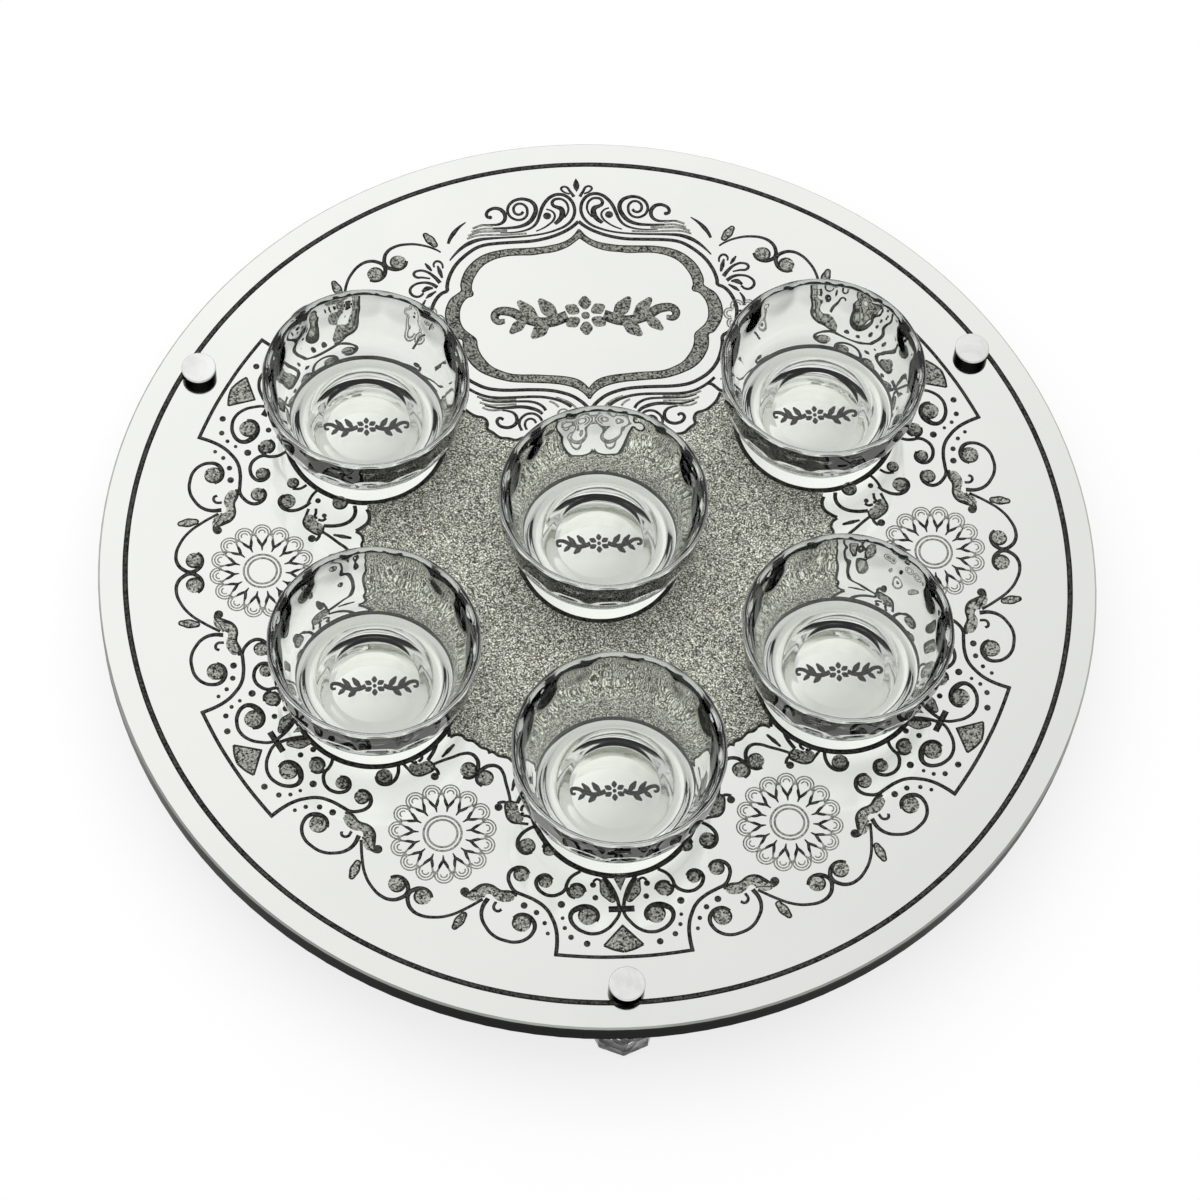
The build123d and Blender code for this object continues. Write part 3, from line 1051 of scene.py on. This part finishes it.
CREST_HAIRS = (
    Stroke(((45, 157), (40, 158.4), (34, 158.2)), (0.7,)),
    Stroke(((46.5, 155), (42, 156.8), (36, 157), (30, 157.2)), (0.8,)),
    Stroke(((47, 153.6), (43, 155), (38, 155.3), (30, 155.2), (22, 155.6)), (0.7,)),
    Stroke(((44.5, 158.6), (40.5, 160.1), (36, 159.8)), (0.8,)),
    Stroke(((46, 77.6), (42, 76), (37, 75.7), (30, 75.8)), (0.7,)),
    Stroke(((45, 74.8), (41, 73.4), (36, 73.4), (30, 73.5)), (0.7,)),
    Stroke(((44, 72.4), (41.5, 71.2), (38.5, 70.9), (35, 71.4)), (0.7,)),
    Stroke(((16.5, 74.6), (14.2, 73.2), (12.8, 71.6)), (0.7,)),
    Stroke(((13.8, 76.2), (10.8, 75), (8, 73.4), (5.6, 71)), (0.7,)),
)


def small_rose(x: float, y: float) -> tuple[Stroke, ...]:
    """A small wild rose of broken round strokes, for the foot of the cartouche."""
    petals, first_petal, reach, petal_radius = 5, 200, 6.4, 2.3
    strokes = [arc(x, y, 6.6, 200, 470, 0.8, 9), arc(x, y, 4.9, 20, 250, 0.7, 7),
               arc(x, y, 3.3, 150, 400, 0.7, 6), arc(x + 0.3, y + 0.2, 1.7, 0, 270, 0.7, 5)]
    for index in range(petals):
        angle = first_petal + index * 360 / petals
        across, along = math.cos(math.radians(angle)), math.sin(math.radians(angle))
        strokes.append(arc(x + reach * across, y + reach * along, petal_radius,
                           angle - 90, angle + 90, 0.6, 5))
    return tuple(strokes)


def side_blossom(x: float, y: float) -> Drawing:
    """A faint blossom for the cartouche's side: pale petal outlines round a few dark dots.

    Args:
        x: The middle's x.
        y: The middle's y.

    Returns:
        The drawing.
    """
    petals, first_petal, petal_reach, spread, dot_reach = 7, 12, 5.6, 115, 2.6
    outlines, dots = [], []
    for index in range(petals):
        angle = first_petal + index * 360 / petals
        across, along = math.cos(math.radians(angle)), math.sin(math.radians(angle))
        for radius in (2.6, 1.5):
            outlines.append(arc(x + petal_reach * across, y + petal_reach * along, radius,
                                angle - spread, angle + spread, 0.5))
        if index % 2 == 0:
            dots.append(dot(x + dot_reach * across, y + dot_reach * along, 0.7))
    stem = Stroke(((x + 3, y - 9.5), (x + 1, y - 6), (x + 1.4, y - 2.5)), (0.9, 0.6))
    return Drawing(lines=(stem,), solids=tuple(dots), hairs=tuple(outlines))


def sprig_drawing(x: float, y: float, size: float, weight: float = 1.0) -> Drawing:
    """A plain two-sided leaf sprig with a small flower in its middle.

    Args:
        x: The middle's x.
        y: The middle's y.
        size: Its scale; at 1 it is 34 mm wide and 9 mm tall.
        weight: How much bolder its leaves and stems are drawn.

    Returns:
        The drawing.
    """
    lines, solids = [], []

    def at(px: float, py: float) -> Point:
        """A place in the sprig, at its size."""
        return (x + px * size, y + py * size)

    for hand in (-1, 1):
        lines.append(Stroke((at(3.4 * hand, 0), at(7 * hand, -1.3), at(11 * hand, -0.6),
                             at(14.6 * hand, 1.3), at(16.9 * hand, 0.8), at(16.6 * hand, -0.9),
                             at(15.2 * hand, -0.8)),
                            (1.2 * size * weight, 1.0 * size * weight, 0.8 * size)))
        for (foot_x, foot_y), (tip_x, tip_y), wide in (
            ((5.4, -0.8), (8.6, 3.9), 1.9), ((9, -1), (12.6, 3.6), 1.7),
            ((7, -1.4), (10.4, -4.7), 1.8), ((11.2, -0.4), (14.4, -3.6), 1.5),
        ):
            solids.append(leaf(at(foot_x * hand, foot_y), at(tip_x * hand, tip_y),
                               wide * size * weight))
    petals, inner, outer, petal_width, weight_share = 6, 1.3, 4.3, 1.9, 0.6
    for index in range(petals):
        angle = math.radians(90 + index * 360 / petals)
        across, along = math.cos(angle), math.sin(angle)
        solids.append(leaf(at(inner * across, inner * along), at(outer * across, outer * along),
                           petal_width * size * (1 - weight_share + weight_share * weight)))
    solids.append(dot(x, y, 0.8 * size))
    return Drawing(lines=tuple(lines), solids=tuple(solids))


def laid_sprig(name: str, middle: Point, size: float, weight: float,
               finish: Finish) -> bpy.types.Object:
    """Lays a sprig on the pane as one finished piece.

    Args:
        name: The piece's name.
        middle: Where its middle is.
        size: Its scale.
        weight: How much bolder it is drawn.
        finish: Its finish.

    Returns:
        The piece.
    """
    drawing = sprig_drawing(*middle, size, weight)
    parts = [Hand.line_work("sprig_lines", drawing.lines, Layer.LINE.value),
             Hand.filled_work("sprig_leaves", drawing.solids, Layer.LINE.value)]
    return Hand.etch(Hand.join(name, parts), finish)


@dataclass
class Discs:
    """The six plain round grounds that the bowls stand on.

    The pattern stops at cover_radius, in the middle of each ground's dark outline, and each
    ground lies a little nearer the front than its bowl.
    """

    centres: dict[str, Point] = field(default_factory=dict)
    sprig_size: float = 1.05
    sprig_weight: float = 1.3
    cover_radius: float = 33.0
    outline_width: float = 2.2
    nearer: float = 1.0
    nearer_front: float = 2.0

    def __post_init__(self) -> None:
        """Finds each ground under its bowl."""
        for name in sorted(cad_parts):
            if name.startswith("bowl_"):
                low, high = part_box(name)
                middle = (low + high) / 2
                self.centres[name] = (middle.x / MM, middle.y / MM)

    def grounds(self) -> list[Point]:
        """Gives the middles of the grounds."""
        return [(cx, cy - (self.nearer_front if name == "bowl_front" else self.nearer))
                for name, (cx, cy) in self.centres.items()]

    def covers(self, x: float, y: float) -> bool:
        """Tells whether a place lies on any of the grounds."""
        return any(math.hypot(x - cx, y - cy) < self.cover_radius for cx, cy in self.grounds())

    def build(self) -> bpy.types.Object:
        """Draws the dark outlines round all six grounds."""
        rings = tuple(ring(cx, cy, self.cover_radius, self.outline_width / LINE_WEIGHT, 24)
                      for cx, cy in self.grounds())
        piece = Hand.line_work("ground_outlines", rings, Layer.LINE.value, steps=4)
        return Hand.etch(piece, LINE_FINISH)

    def sprigs(self) -> list[bpy.types.Object]:
        """Lays a small plain sprig under the middle of each bowl."""
        return [laid_sprig(f"sprig_under_{name}", middle, self.sprig_size, self.sprig_weight,
                           LINE_FINISH)
                for name, middle in self.centres.items()]


@dataclass
class Ornament:
    """The scrollwork round the plate: five panels, four rosettes and the field they frame."""

    discs: Discs
    panel_angles: tuple[float, ...] = (0.0, 60.0, 120.0, 240.0, 300.0)
    rosette_angles: tuple[float, ...] = (30.0, 90.0, 270.0, 330.0)
    half_panel_turn: float = 30.0
    rosette_reach: float = 134.8
    ring_radius: float = 189.2
    ring_width: float = 1.65
    cartouche_rows: Point = (62.0, 175.0)
    cartouche_foot_top: float = 70.5
    cartouche_foot_half: float = 52.0
    cartouche_margin: float = 2.2
    corner_rows: Point = (76.0, 92.0)
    corner_margin: float = 9.0
    field_corner: Point = (60.0, 75.0)

    def in_cartouche(self, x: float, y: float) -> bool:
        """Tells whether a place lies within the cartouche's first line, with a margin."""
        lowest, highest = self.cartouche_rows
        if not lowest <= y <= highest:
            return False
        if y <= self.cartouche_foot_top:
            return abs(x) < self.cartouche_foot_half
        reach = max((ax + (bx - ax) * (y - ay) / (by - ay)
                     for (ax, ay), (bx, by) in zip(FIRST_LINE, FIRST_LINE[1:])
                     if min(ay, by) <= y <= max(ay, by) and ay != by), default=0.0)
        corner = self.corner_rows[0] < y < self.corner_rows[1]
        return abs(x) < reach + (self.corner_margin if corner else self.cartouche_margin)

    def unwanted(self, x: float, y: float) -> bool:
        """Tells whether the pattern is covered at a place by a ground or the cartouche."""
        return self.discs.covers(x, y) or self.in_cartouche(x, y)

    def half_panel(self) -> list[tuple[str, bpy.types.Object, Finish]]:
        """Draws half a panel once, in its three finishes."""
        rims = tuple(curl.rim() for curl in PANEL_CURLS)
        middles = tuple(curl.middle() for curl in PANEL_CURLS)
        lines = Hand.line_work("half_lines", PANEL_LINES + PANEL_EDGES + rims, Layer.LINE.value)
        dots = Hand.filled_work("half_dots", PANEL_SOLIDS, Layer.LINE.value)
        curls = Hand.filled_work("half_curls", PANEL_TONES + middles, Layer.TONE.value)
        return [("lines", lines, LINE_FINISH), ("dots", dots, LINE_FINISH),
                ("curls", curls, TONE_FINISH)]

    @staticmethod
    def two_sided(name: str, half: bpy.types.Object, degrees: float) -> bpy.types.Object:
        """Lays a half and its mirror image at a turn round the plate, as one piece."""
        sides = [Hand.copy(half, f"{name}_{side.name.lower()}", turned(degrees, side))
                 for side in Side]
        return Hand.join(name, sides)

    def build_panels(self) -> list[bpy.types.Object]:
        """Copies the half panel round the plate, and trims it where it is covered."""
        made = []
        for kind, half, finish in self.half_panel():
            for index, angle in enumerate(self.panel_angles, 1):
                piece = self.two_sided(f"panel_{index}_{kind}", half, angle)
                Hand.drop_faces(piece, self.unwanted)
                made.append(Hand.etch(piece, finish))
            bpy.data.objects.remove(half)
        return made

    def build_vine_ends(self) -> list[bpy.types.Object]:
        """Draws the vines that run on from the last panels towards the cartouche."""
        vine = Stroke(((58.2, -147.3),) + VINE.points[1:], (0.6,) + VINE.widths[1:])
        lines = Hand.line_work("vine_line", (vine, VINE_CURL.rim(), VINE_LEAF_EDGE),
                               Layer.LINE.value)
        tones = Hand.filled_work("vine_tone", (VINE_CURL.middle(), VINE_LEAF), Layer.TONE.value)
        made = []
        for kind, half, finish in (("line", lines, LINE_FINISH), ("curls", tones, TONE_FINISH)):
            made.append(Hand.etch(self.two_sided(f"vine_ends_{kind}", half, 180), finish))
            bpy.data.objects.remove(half)
        return made

    def build_rosettes(self) -> list[bpy.types.Object]:
        """Draws one rosette and copies it to the axes between the panels."""
        drawing = rosette_drawing(0, -self.rosette_reach)
        made = []
        for kind, finish, strokes, height in (
            ("forks", LINE_FINISH, drawing.lines, Layer.LINE.value),
            ("lobes", HAIR_FINISH, drawing.hairs, Layer.TONE.value),
        ):
            first = Hand.line_work(f"rosette_{kind}", strokes, height, steps=3)
            for index, angle in enumerate(self.rosette_angles, 1):
                piece = Hand.copy(first, f"rosette_{index}_{kind}", turned(angle))
                Hand.drop_faces(piece, self.unwanted)
                made.append(Hand.etch(piece, finish))
            bpy.data.objects.remove(first)
        return made

    def build_ring(self) -> bpy.types.Object:
        """Draws the dark ring near the plate's rim."""
        line = ring(0, 0, self.ring_radius, self.ring_width, 72)
        return Hand.etch(Hand.line_work("rim_ring", (line,), Layer.LINE.value, steps=6),
                         LINE_FINISH)

    def field_outline(self) -> tuple[Point, ...]:
        """Gives the outline of the etched field, anticlockwise from the plate's front."""
        half = list(dict.fromkeys(point for line in SCALLOP_LINES for point in line.points))
        turn = math.radians(self.half_panel_turn)
        axis = Vector((math.sin(turn), -math.cos(turn)))
        mirrored = []
        for x, y in half[:-1]:
            along = 2 * (x * axis.x + y * axis.y)
            mirrored.append((along * axis.x - x, along * axis.y - y))
        scallop = half + mirrored[::-1]

        def laid(degrees: float) -> list[Point]:
            """The scallop turned round the plate."""
            placed = [turned(degrees) @ Vector((x, y, 0)) for x, y in scallop]
            return [(spot.x, spot.y) for spot in placed]

        centre = self.discs.centres
        right = [centre["bowl_front"]] + laid(0) + [centre["bowl_front_right"]] + laid(60)
        right += [centre["bowl_back_right"], self.field_corner, *CARTOUCHE_FOOT.points]
        left = [(-x, y) for x, y in reversed(right[1:-1])]
        return tuple(right + left)

    def build_field(self) -> bpy.types.Object:
        """Fills the field and cuts the six grounds out of it."""
        cutter_sides, cutter_height = 96, 2.0
        outline = Stroke(self.field_outline(), closed=True, sharp=True)
        piece = Hand.filled_work("etched_ground", (outline,), Layer.FIELD.value, steps=1)
        for cx, cy in self.discs.grounds():
            Hand.clear_selection()
            bpy.ops.mesh.primitive_cylinder_add(
                vertices=cutter_sides, radius=self.discs.cover_radius * MM,
                depth=cutter_height * MM, location=(cx * MM, cy * MM, PANE_TOP))
            cutter = bpy.context.object
            Hand.take(piece)
            cut = piece.modifiers.new("ground", "BOOLEAN")
            cut.operation = "DIFFERENCE"
            cut.object = cutter
            bpy.ops.object.modifier_apply(modifier=cut.name)
            bpy.data.objects.remove(cutter)
        return Hand.etch(piece, FIELD_FINISH)


@dataclass
class Cartouche:
    """The framed place at the plate's back, with its crest and its plain sprig."""

    discs: Discs
    sprig_middle: Point = (0.5, 115.0)
    sprig_size: float = 2.2
    sprig_weight: float = 1.5
    blossom_middle: Point = (66.0, 113.0)
    rose_middle: Point = (7.4, 63.0)

    def both_sides(self, name: str, piece: bpy.types.Object, finish: Finish) -> bpy.types.Object:
        """Mirrors a drawn half to the other side, joins and finishes it."""
        other = Hand.copy(piece, f"{name}_other", turned(0, Side.MIRRORED))
        made = Hand.join(name, [piece, other])
        Hand.drop_faces(made, self.discs.covers)
        return Hand.etch(made, finish)

    def build_band(self) -> list[bpy.types.Object]:
        """Fills the toned band and draws its two dark edges."""
        outline = Stroke(BAND_OUTER + BAND_INNER[::-1], closed=True, sharp=True)
        ground = Hand.filled_work("band", (outline,), Layer.TONE.value, steps=2)
        edges = Hand.line_work("edges", (Stroke(BAND_OUTER, (0.7,)), Stroke(BAND_INNER, (0.6,))),
                               Layer.LINE.value)
        return [self.both_sides("cartouche_band", ground, BAND_FINISH),
                self.both_sides("cartouche_edges", edges, LINE_FINISH)]

    def build_scrolls(self) -> list[bpy.types.Object]:
        """Draws the lines, the crest, the palmettes, the side blossoms and the small roses."""
        side = side_blossom(*self.blossom_middle)
        rose = small_rose(*self.rose_middle)
        lines = Hand.line_work("scrolls", CREST_LINES + side.lines, Layer.LINE.value)
        solids = Hand.filled_work("drops", CREST_SOLIDS + side.solids, Layer.LINE.value)
        hairs = Hand.line_work("hairs", CREST_HAIRS + rose + side.hairs, Layer.TONE.value)
        return [self.both_sides("cartouche_scrolls", lines, LINE_FINISH),
                self.both_sides("cartouche_drops", solids, LINE_FINISH),
                self.both_sides("cartouche_hairlines", hairs, HAIR_FINISH)]

    def build_sprig(self) -> bpy.types.Object:
        """Lays a large plain sprig in the middle of the cartouche."""
        return laid_sprig("cartouche_sprig", self.sprig_middle, self.sprig_size,
                          self.sprig_weight, BAND_FINISH)


# The bowls


@dataclass(frozen=True)
class Bowl:
    """A thick pressed-glass bowl with leaning flats, turned about its axis.

    The flats lie flat_foot from the axis at flat_foot_height and flat_top from it at the brim.
    Their edges are softened, and glass further inside them than free_depth isn't pressed.
    Points nearer to each other than seam become one. A crease is an angle in degrees.
    """

    sides: int = 16
    steps: int = 192
    lift: float = 0.02
    height: float = 42.0
    flat_top: float = 41.3
    flat_foot: float = 38.8
    flat_foot_height: float = 17.0
    softness: float = 0.25
    free_depth: float = 1.5
    seam: float = 0.01
    crease: float = 50.0
    smooth_run: tuple[Point, ...] = (
        (27.7, 0.6), (29.8, 3.0), (34.1, 10.0), (37.3, 17.0), (39.5, 24.0), (41.05, 32.0),
        (41.5, 39.8), (41.3, 41.2), (40.25, 41.97), (39.2, 41.3), (38.55, 39.8), (36.97, 33.5),
        (35.16, 27.0), (33.1, 20.5), (31.9, 17.0), (30.3, 14.0), (28.1, 12.0), (25.2, 10.8),
        (20.6, 10.0), (11.6, 8.9), (0.0, 8.4),
    )
    underside: tuple[Point, ...] = (
        (0.0, 3.4), (17.6, 3.4), (18.2, 3.2), (20.2, 1.9), (20.8, 1.8), (23.2, 0.2),
        (23.8, 0.0), (26.7, 0.0),
    )

    def section(self) -> bpy.types.Object:
        """Draws half of the bowl's section in the XZ plane as a mesh of edges."""
        curve = bpy.data.curves.new("bowl_section", "CURVE")
        curve.dimensions = "3D"
        curve.resolution_u = 6
        spline = curve.splines.new("BEZIER")
        points = self.underside + self.smooth_run
        spline.bezier_points.add(len(points) - 1)
        for index, (knot, (reach, height)) in enumerate(zip(spline.bezier_points, points)):
            knot.co = (reach * MM, 0, height * MM)
            handle = "VECTOR" if index < len(self.underside) else "AUTO"
            knot.handle_left_type = knot.handle_right_type = handle
        piece = bpy.data.objects.new("bowl_section", curve)
        bpy.context.scene.collection.objects.link(piece)
        Hand.take(piece)
        bpy.ops.object.convert(target="MESH")
        return bpy.context.object

    def flat_reach(self, turn: float, height: float) -> float:
        """How far out the nearest flat lies, in a direction and at a height."""
        pitch = 2 * math.pi / self.sides
        off = (turn + pitch / 2) % pitch - pitch / 2
        share = (height - self.flat_foot_height) / (self.height - self.flat_foot_height)
        apothem = self.flat_foot + (self.flat_top - self.flat_foot) * share
        return apothem / math.cos(off)

    def build_first(self) -> bpy.types.Object:
        """Turns the section into a bowl and presses its flats."""
        piece = self.section()
        Hand.take(piece)
        bpy.ops.object.mode_set(mode="EDIT")
        bpy.ops.mesh.select_all(action="SELECT")
        bpy.ops.mesh.spin(steps=self.steps, angle=2 * math.pi, center=(0, 0, 0), axis=(0, 0, 1))
        bpy.ops.mesh.select_all(action="SELECT")
        bpy.ops.mesh.remove_doubles(threshold=self.seam * MM)
        bpy.ops.mesh.normals_make_consistent(inside=False)
        bpy.ops.object.mode_set(mode="OBJECT")
        for vertex in piece.data.vertices:
            reach = math.hypot(vertex.co.x, vertex.co.y) / MM
            turn = math.atan2(vertex.co.y, vertex.co.x)
            over = reach - self.flat_reach(turn, vertex.co.z / MM)
            if over > -self.free_depth:
                factor = 1 - (over + math.hypot(over, self.softness)) / 2 / reach
                vertex.co.x *= factor
                vertex.co.y *= factor
        Hand.take(piece)
        bpy.ops.object.shade_smooth_by_angle(angle=math.radians(self.crease))
        return piece

    def build(self, discs: Discs) -> list[bpy.types.Object]:
        """Copies the bowl to its six places.

        Args:
            discs: The grounds, which know the places.

        Returns:
            The six bowls.
        """
        first, made = self.build_first(), []
        for name, (x, y) in discs.centres.items():
            place = Matrix.Translation((x * MM, y * MM, PANE_TOP + self.lift * MM))
            piece = Hand.copy(first, f"glass_{name}", place)
            Hand.finish_piece(piece, BOWL_FINISH, name, "bowl_glass")
            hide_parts(name)
            made.append(piece)
        bpy.data.objects.remove(first)
        return made


# The pieces that come from the frame


@dataclass(frozen=True)
class FramePieces:
    """The frame's own pieces, each with its finish."""

    finishes: tuple[tuple[str, Finish], ...] = (
        ("base_board", LACQUER_FINISH),
        ("mirror_pane", MIRROR_FINISH),
        ("screw_cap_", CHROME_FINISH),
        ("cap_washer_", WASHER_FINISH),
        ("stud_", STEEL_FINISH),
        ("foot_insert_", BRASS_FINISH),
        ("foot_pad_", PAD_FINISH),
        ("foot_", CRYSTAL_FINISH),
        ("bowl_", BOWL_FINISH),
    )

    def dress(self) -> None:
        """Gives every frame piece its material."""
        for name, piece in sorted(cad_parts.items()):
            finish = next(f for start, f in self.finishes if name.startswith(start))
            piece.data.materials.clear()
            piece.data.materials.append(finish.material())
            log.info("dressed %s with %s", name, finish.name)


# Studio


@dataclass(frozen=True)
class Card:
    """A round pale card far away: the angles from its middle between which its edge fades."""

    inner: float
    outer: float

    def mask(self, nodes: Nodes, heading: bpy.types.NodeSocket, toward: Direction,
             level: float = 1.0) -> bpy.types.NodeSocket:
        """Lays the card in the surroundings.

        Args:
            nodes: The world's nodes.
            heading: The direction that is looked in.
            toward: The direction of the card's middle.
            level: How bright the card is.

        Returns:
            The level inside the card, and zero outside it.
        """
        limits = (math.cos(math.radians(angle)) for angle in (self.outer, self.inner))
        return nodes.ramp(nodes.along(heading, toward), *limits, 0.0, level)


@dataclass(frozen=True)
class Studio:
    """The floor, the surroundings and the soft light.

    The back card grows brighter along card_slope, from card_least to 1. The room outside the
    cards is dark, but what is mirrored shows it at its own, paler level.
    """

    floor_size: float = 12.0
    floor_drop: float = 0.2
    floor_tone: float = 0.86
    floor_lift: float = 0.8
    back_card: Card = Card(inner=34.0, outer=44.0)
    card_slope: Direction = (-0.6, 0.8, 0.0)
    card_slope_middle: float = 0.377
    card_slope_rise: float = 0.8
    card_bright: float = 0.86
    card_least: float = 0.6
    low_card: Card = Card(inner=14.0, outer=22.0)
    low_card_side: Direction = (-0.06, -0.88, 0.46)
    low_card_bright: float = 0.8
    dark: float = 0.05
    mirrored: float = 0.66
    lamp_power: float = 62.0
    lamp_size: float = 3.2
    lamp_place: Direction = (-0.25, 0.15, 2.2)

    def build_floor(self) -> None:
        """Lays a pale floor that keeps the shadow and looks white to the camera."""
        Hand.clear_selection()
        bpy.ops.mesh.primitive_plane_add(size=self.floor_size,
                                         location=(0, 0, -self.floor_drop * MM))
        floor = bpy.context.object
        floor.name = "studio_floor"
        material = bpy.data.materials.new("studio_floor")
        material.use_nodes = True
        tree = material.node_tree
        tree.nodes.clear()
        nodes = Nodes(tree)
        seen = nodes.add("ShaderNodeLightPath")
        bent = nodes.maths("ADD", seen.outputs["Is Glossy Ray"],
                           seen.outputs["Is Transmission Ray"], clamp=True)
        either = nodes.maths("ADD", seen.outputs["Is Camera Ray"], bent, clamp=True)
        paper = nodes.add("ShaderNodeBsdfDiffuse", Color=(self.floor_tone,) * 3 + (1,))
        white = nodes.add("ShaderNodeEmission", Color=(1, 1, 1, 1), Strength=1.0)
        mix = nodes.add("ShaderNodeMixShader", Fac=nodes.maths("MULTIPLY", either, self.floor_lift))
        nodes.feed(mix.inputs[1], paper.outputs[0])
        nodes.feed(mix.inputs[2], white.outputs[0])
        output = nodes.add("ShaderNodeOutputMaterial")
        nodes.feed(output.inputs["Surface"], mix.outputs[0])
        floor.data.materials.append(material)

    def build_world(self, camera_side: Vector) -> None:
        """Makes the surroundings: a large pale card over the back, a low one in front, a dim room.

        Args:
            camera_side: The direction from the plate to the camera, which the back card mirrors.
        """
        world = bpy.data.worlds.new("studio_room")
        bpy.context.scene.world = world
        world.use_nodes = True
        tree = world.node_tree
        tree.nodes.clear()
        nodes = Nodes(tree)
        heading = tree.nodes.new("ShaderNodeTexCoord").outputs["Generated"]
        opposite = Vector((-camera_side.x, -camera_side.y, camera_side.z)).normalized()
        shift = nodes.maths("SUBTRACT", nodes.along(heading, self.card_slope),
                            self.card_slope_middle)
        lean = nodes.maths("ADD", nodes.maths("MULTIPLY", shift, self.card_slope_rise),
                           self.card_bright)
        bright = nodes.maths("MINIMUM", nodes.maths("MAXIMUM", lean, self.card_least), 1.0)
        back = nodes.maths("MULTIPLY", self.back_card.mask(nodes, heading, tuple(opposite)), bright)
        low = self.low_card.mask(nodes, heading, self.low_card_side, self.low_card_bright)
        room = nodes.maths("ADD", nodes.maths("ADD", back, low), self.dark)
        seen = nodes.add("ShaderNodeLightPath")
        mirrored = nodes.maths("MULTIPLY", seen.outputs["Is Glossy Ray"], self.mirrored)
        level = nodes.maths("MAXIMUM", room, mirrored)
        tone = nodes.add("ShaderNodeCombineColor", Red=level, Green=level, Blue=level)
        shown = nodes.blend(seen.outputs["Is Camera Ray"], tone.outputs[0], (1, 1, 1, 1))
        background = nodes.add("ShaderNodeBackground", Color=shown, Strength=1.0)
        output = nodes.add("ShaderNodeOutputWorld")
        nodes.feed(output.inputs["Surface"], background.outputs[0])

    def build_lamp(self) -> None:
        """Hangs one wide soft lamp overhead."""
        data = bpy.data.lights.new("soft_lamp", "AREA")
        data.shape = "DISK"
        data.size = self.lamp_size
        data.energy = self.lamp_power
        lamp = bpy.data.objects.new("soft_lamp", data)
        lamp.location = self.lamp_place
        lamp.rotation_euler = (-lamp.location).to_track_quat("-Z", "Y").to_euler()
        lamp.visible_glossy = lamp.visible_transmission = False
        bpy.context.scene.collection.objects.link(lamp)


@dataclass(frozen=True)
class PhotoCamera:
    """The camera at the photograph's viewing angle, its picture measured in pixels."""

    azimuth: float = 262.0
    elevation: float = 62.08
    distance: float = 1.6166
    focal_pixels: float = 4035.1
    picture: float = 1200.0
    roll: float = -5.45
    middle_at: Point = (599.8, 561.3)
    sensor_width: float = 36.0
    nearest: float = 0.05
    farthest: float = 50.0

    def toward(self) -> Vector:
        """The direction from the plate to the camera."""
        turn, lift = math.radians(self.azimuth), math.radians(self.elevation)
        return Vector((math.cos(turn) * math.cos(lift), math.sin(turn) * math.cos(lift),
                       math.sin(lift)))

    def build(self) -> None:
        """Stands the camera up, aimed so that the plate's middle falls in its place."""
        back = self.toward()
        right = Vector((-math.sin(math.radians(self.azimuth)),
                        math.cos(math.radians(self.azimuth)), 0.0))
        up = back.cross(right)
        roll = math.radians(self.roll)
        across = right * math.cos(roll) - up * math.sin(roll)
        over = right * math.sin(roll) + up * math.cos(roll)
        half = self.picture / 2
        aim = Vector(((self.middle_at[0] - half) / self.focal_pixels,
                      -(self.middle_at[1] - half) / self.focal_pixels, -1.0)).normalized()
        tilt = Vector((0, 0, -1)).rotation_difference(aim).to_matrix()
        axes = [across * row[0] + over * row[1] + back * row[2] for row in tilt]
        turn = Matrix(axes).transposed().to_4x4()
        place = Vector((0, 0, PANE_TOP)) + back * self.distance
        data = bpy.data.cameras.new("photo_camera")
        data.sensor_width = self.sensor_width
        data.lens = self.sensor_width * self.focal_pixels / self.picture
        data.clip_start, data.clip_end = self.nearest, self.farthest
        camera = bpy.data.objects.new("photo_camera", data)
        camera.matrix_world = Matrix.Translation(place) @ turn
        bpy.context.scene.collection.objects.link(camera)
        bpy.context.scene.camera = camera


def main() -> None:
    """Builds the dressed plate, its studio and its camera."""
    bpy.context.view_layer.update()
    FramePieces().dress()
    discs = Discs()
    ornament = Ornament(discs)
    cartouche = Cartouche(discs)
    pieces = [discs.build()] + discs.sprigs() + Bowl().build(discs)
    pieces += ornament.build_panels() + ornament.build_vine_ends() + ornament.build_rosettes()
    pieces += [ornament.build_ring(), ornament.build_field()]
    pieces += cartouche.build_band() + cartouche.build_scrolls() + [cartouche.build_sprig()]
    for piece in pieces:
        log.info("built %s", piece.name)
    camera = PhotoCamera()
    studio = Studio()
    studio.build_floor()
    studio.build_world(camera.toward())
    studio.build_lamp()
    camera.build()
    bpy.context.scene.view_settings.view_transform = "Standard"
    log.info("kept the boxes")


if __name__ == "__main__":
    logging.basicConfig(level=logging.INFO, format="%(message)s")
    main()
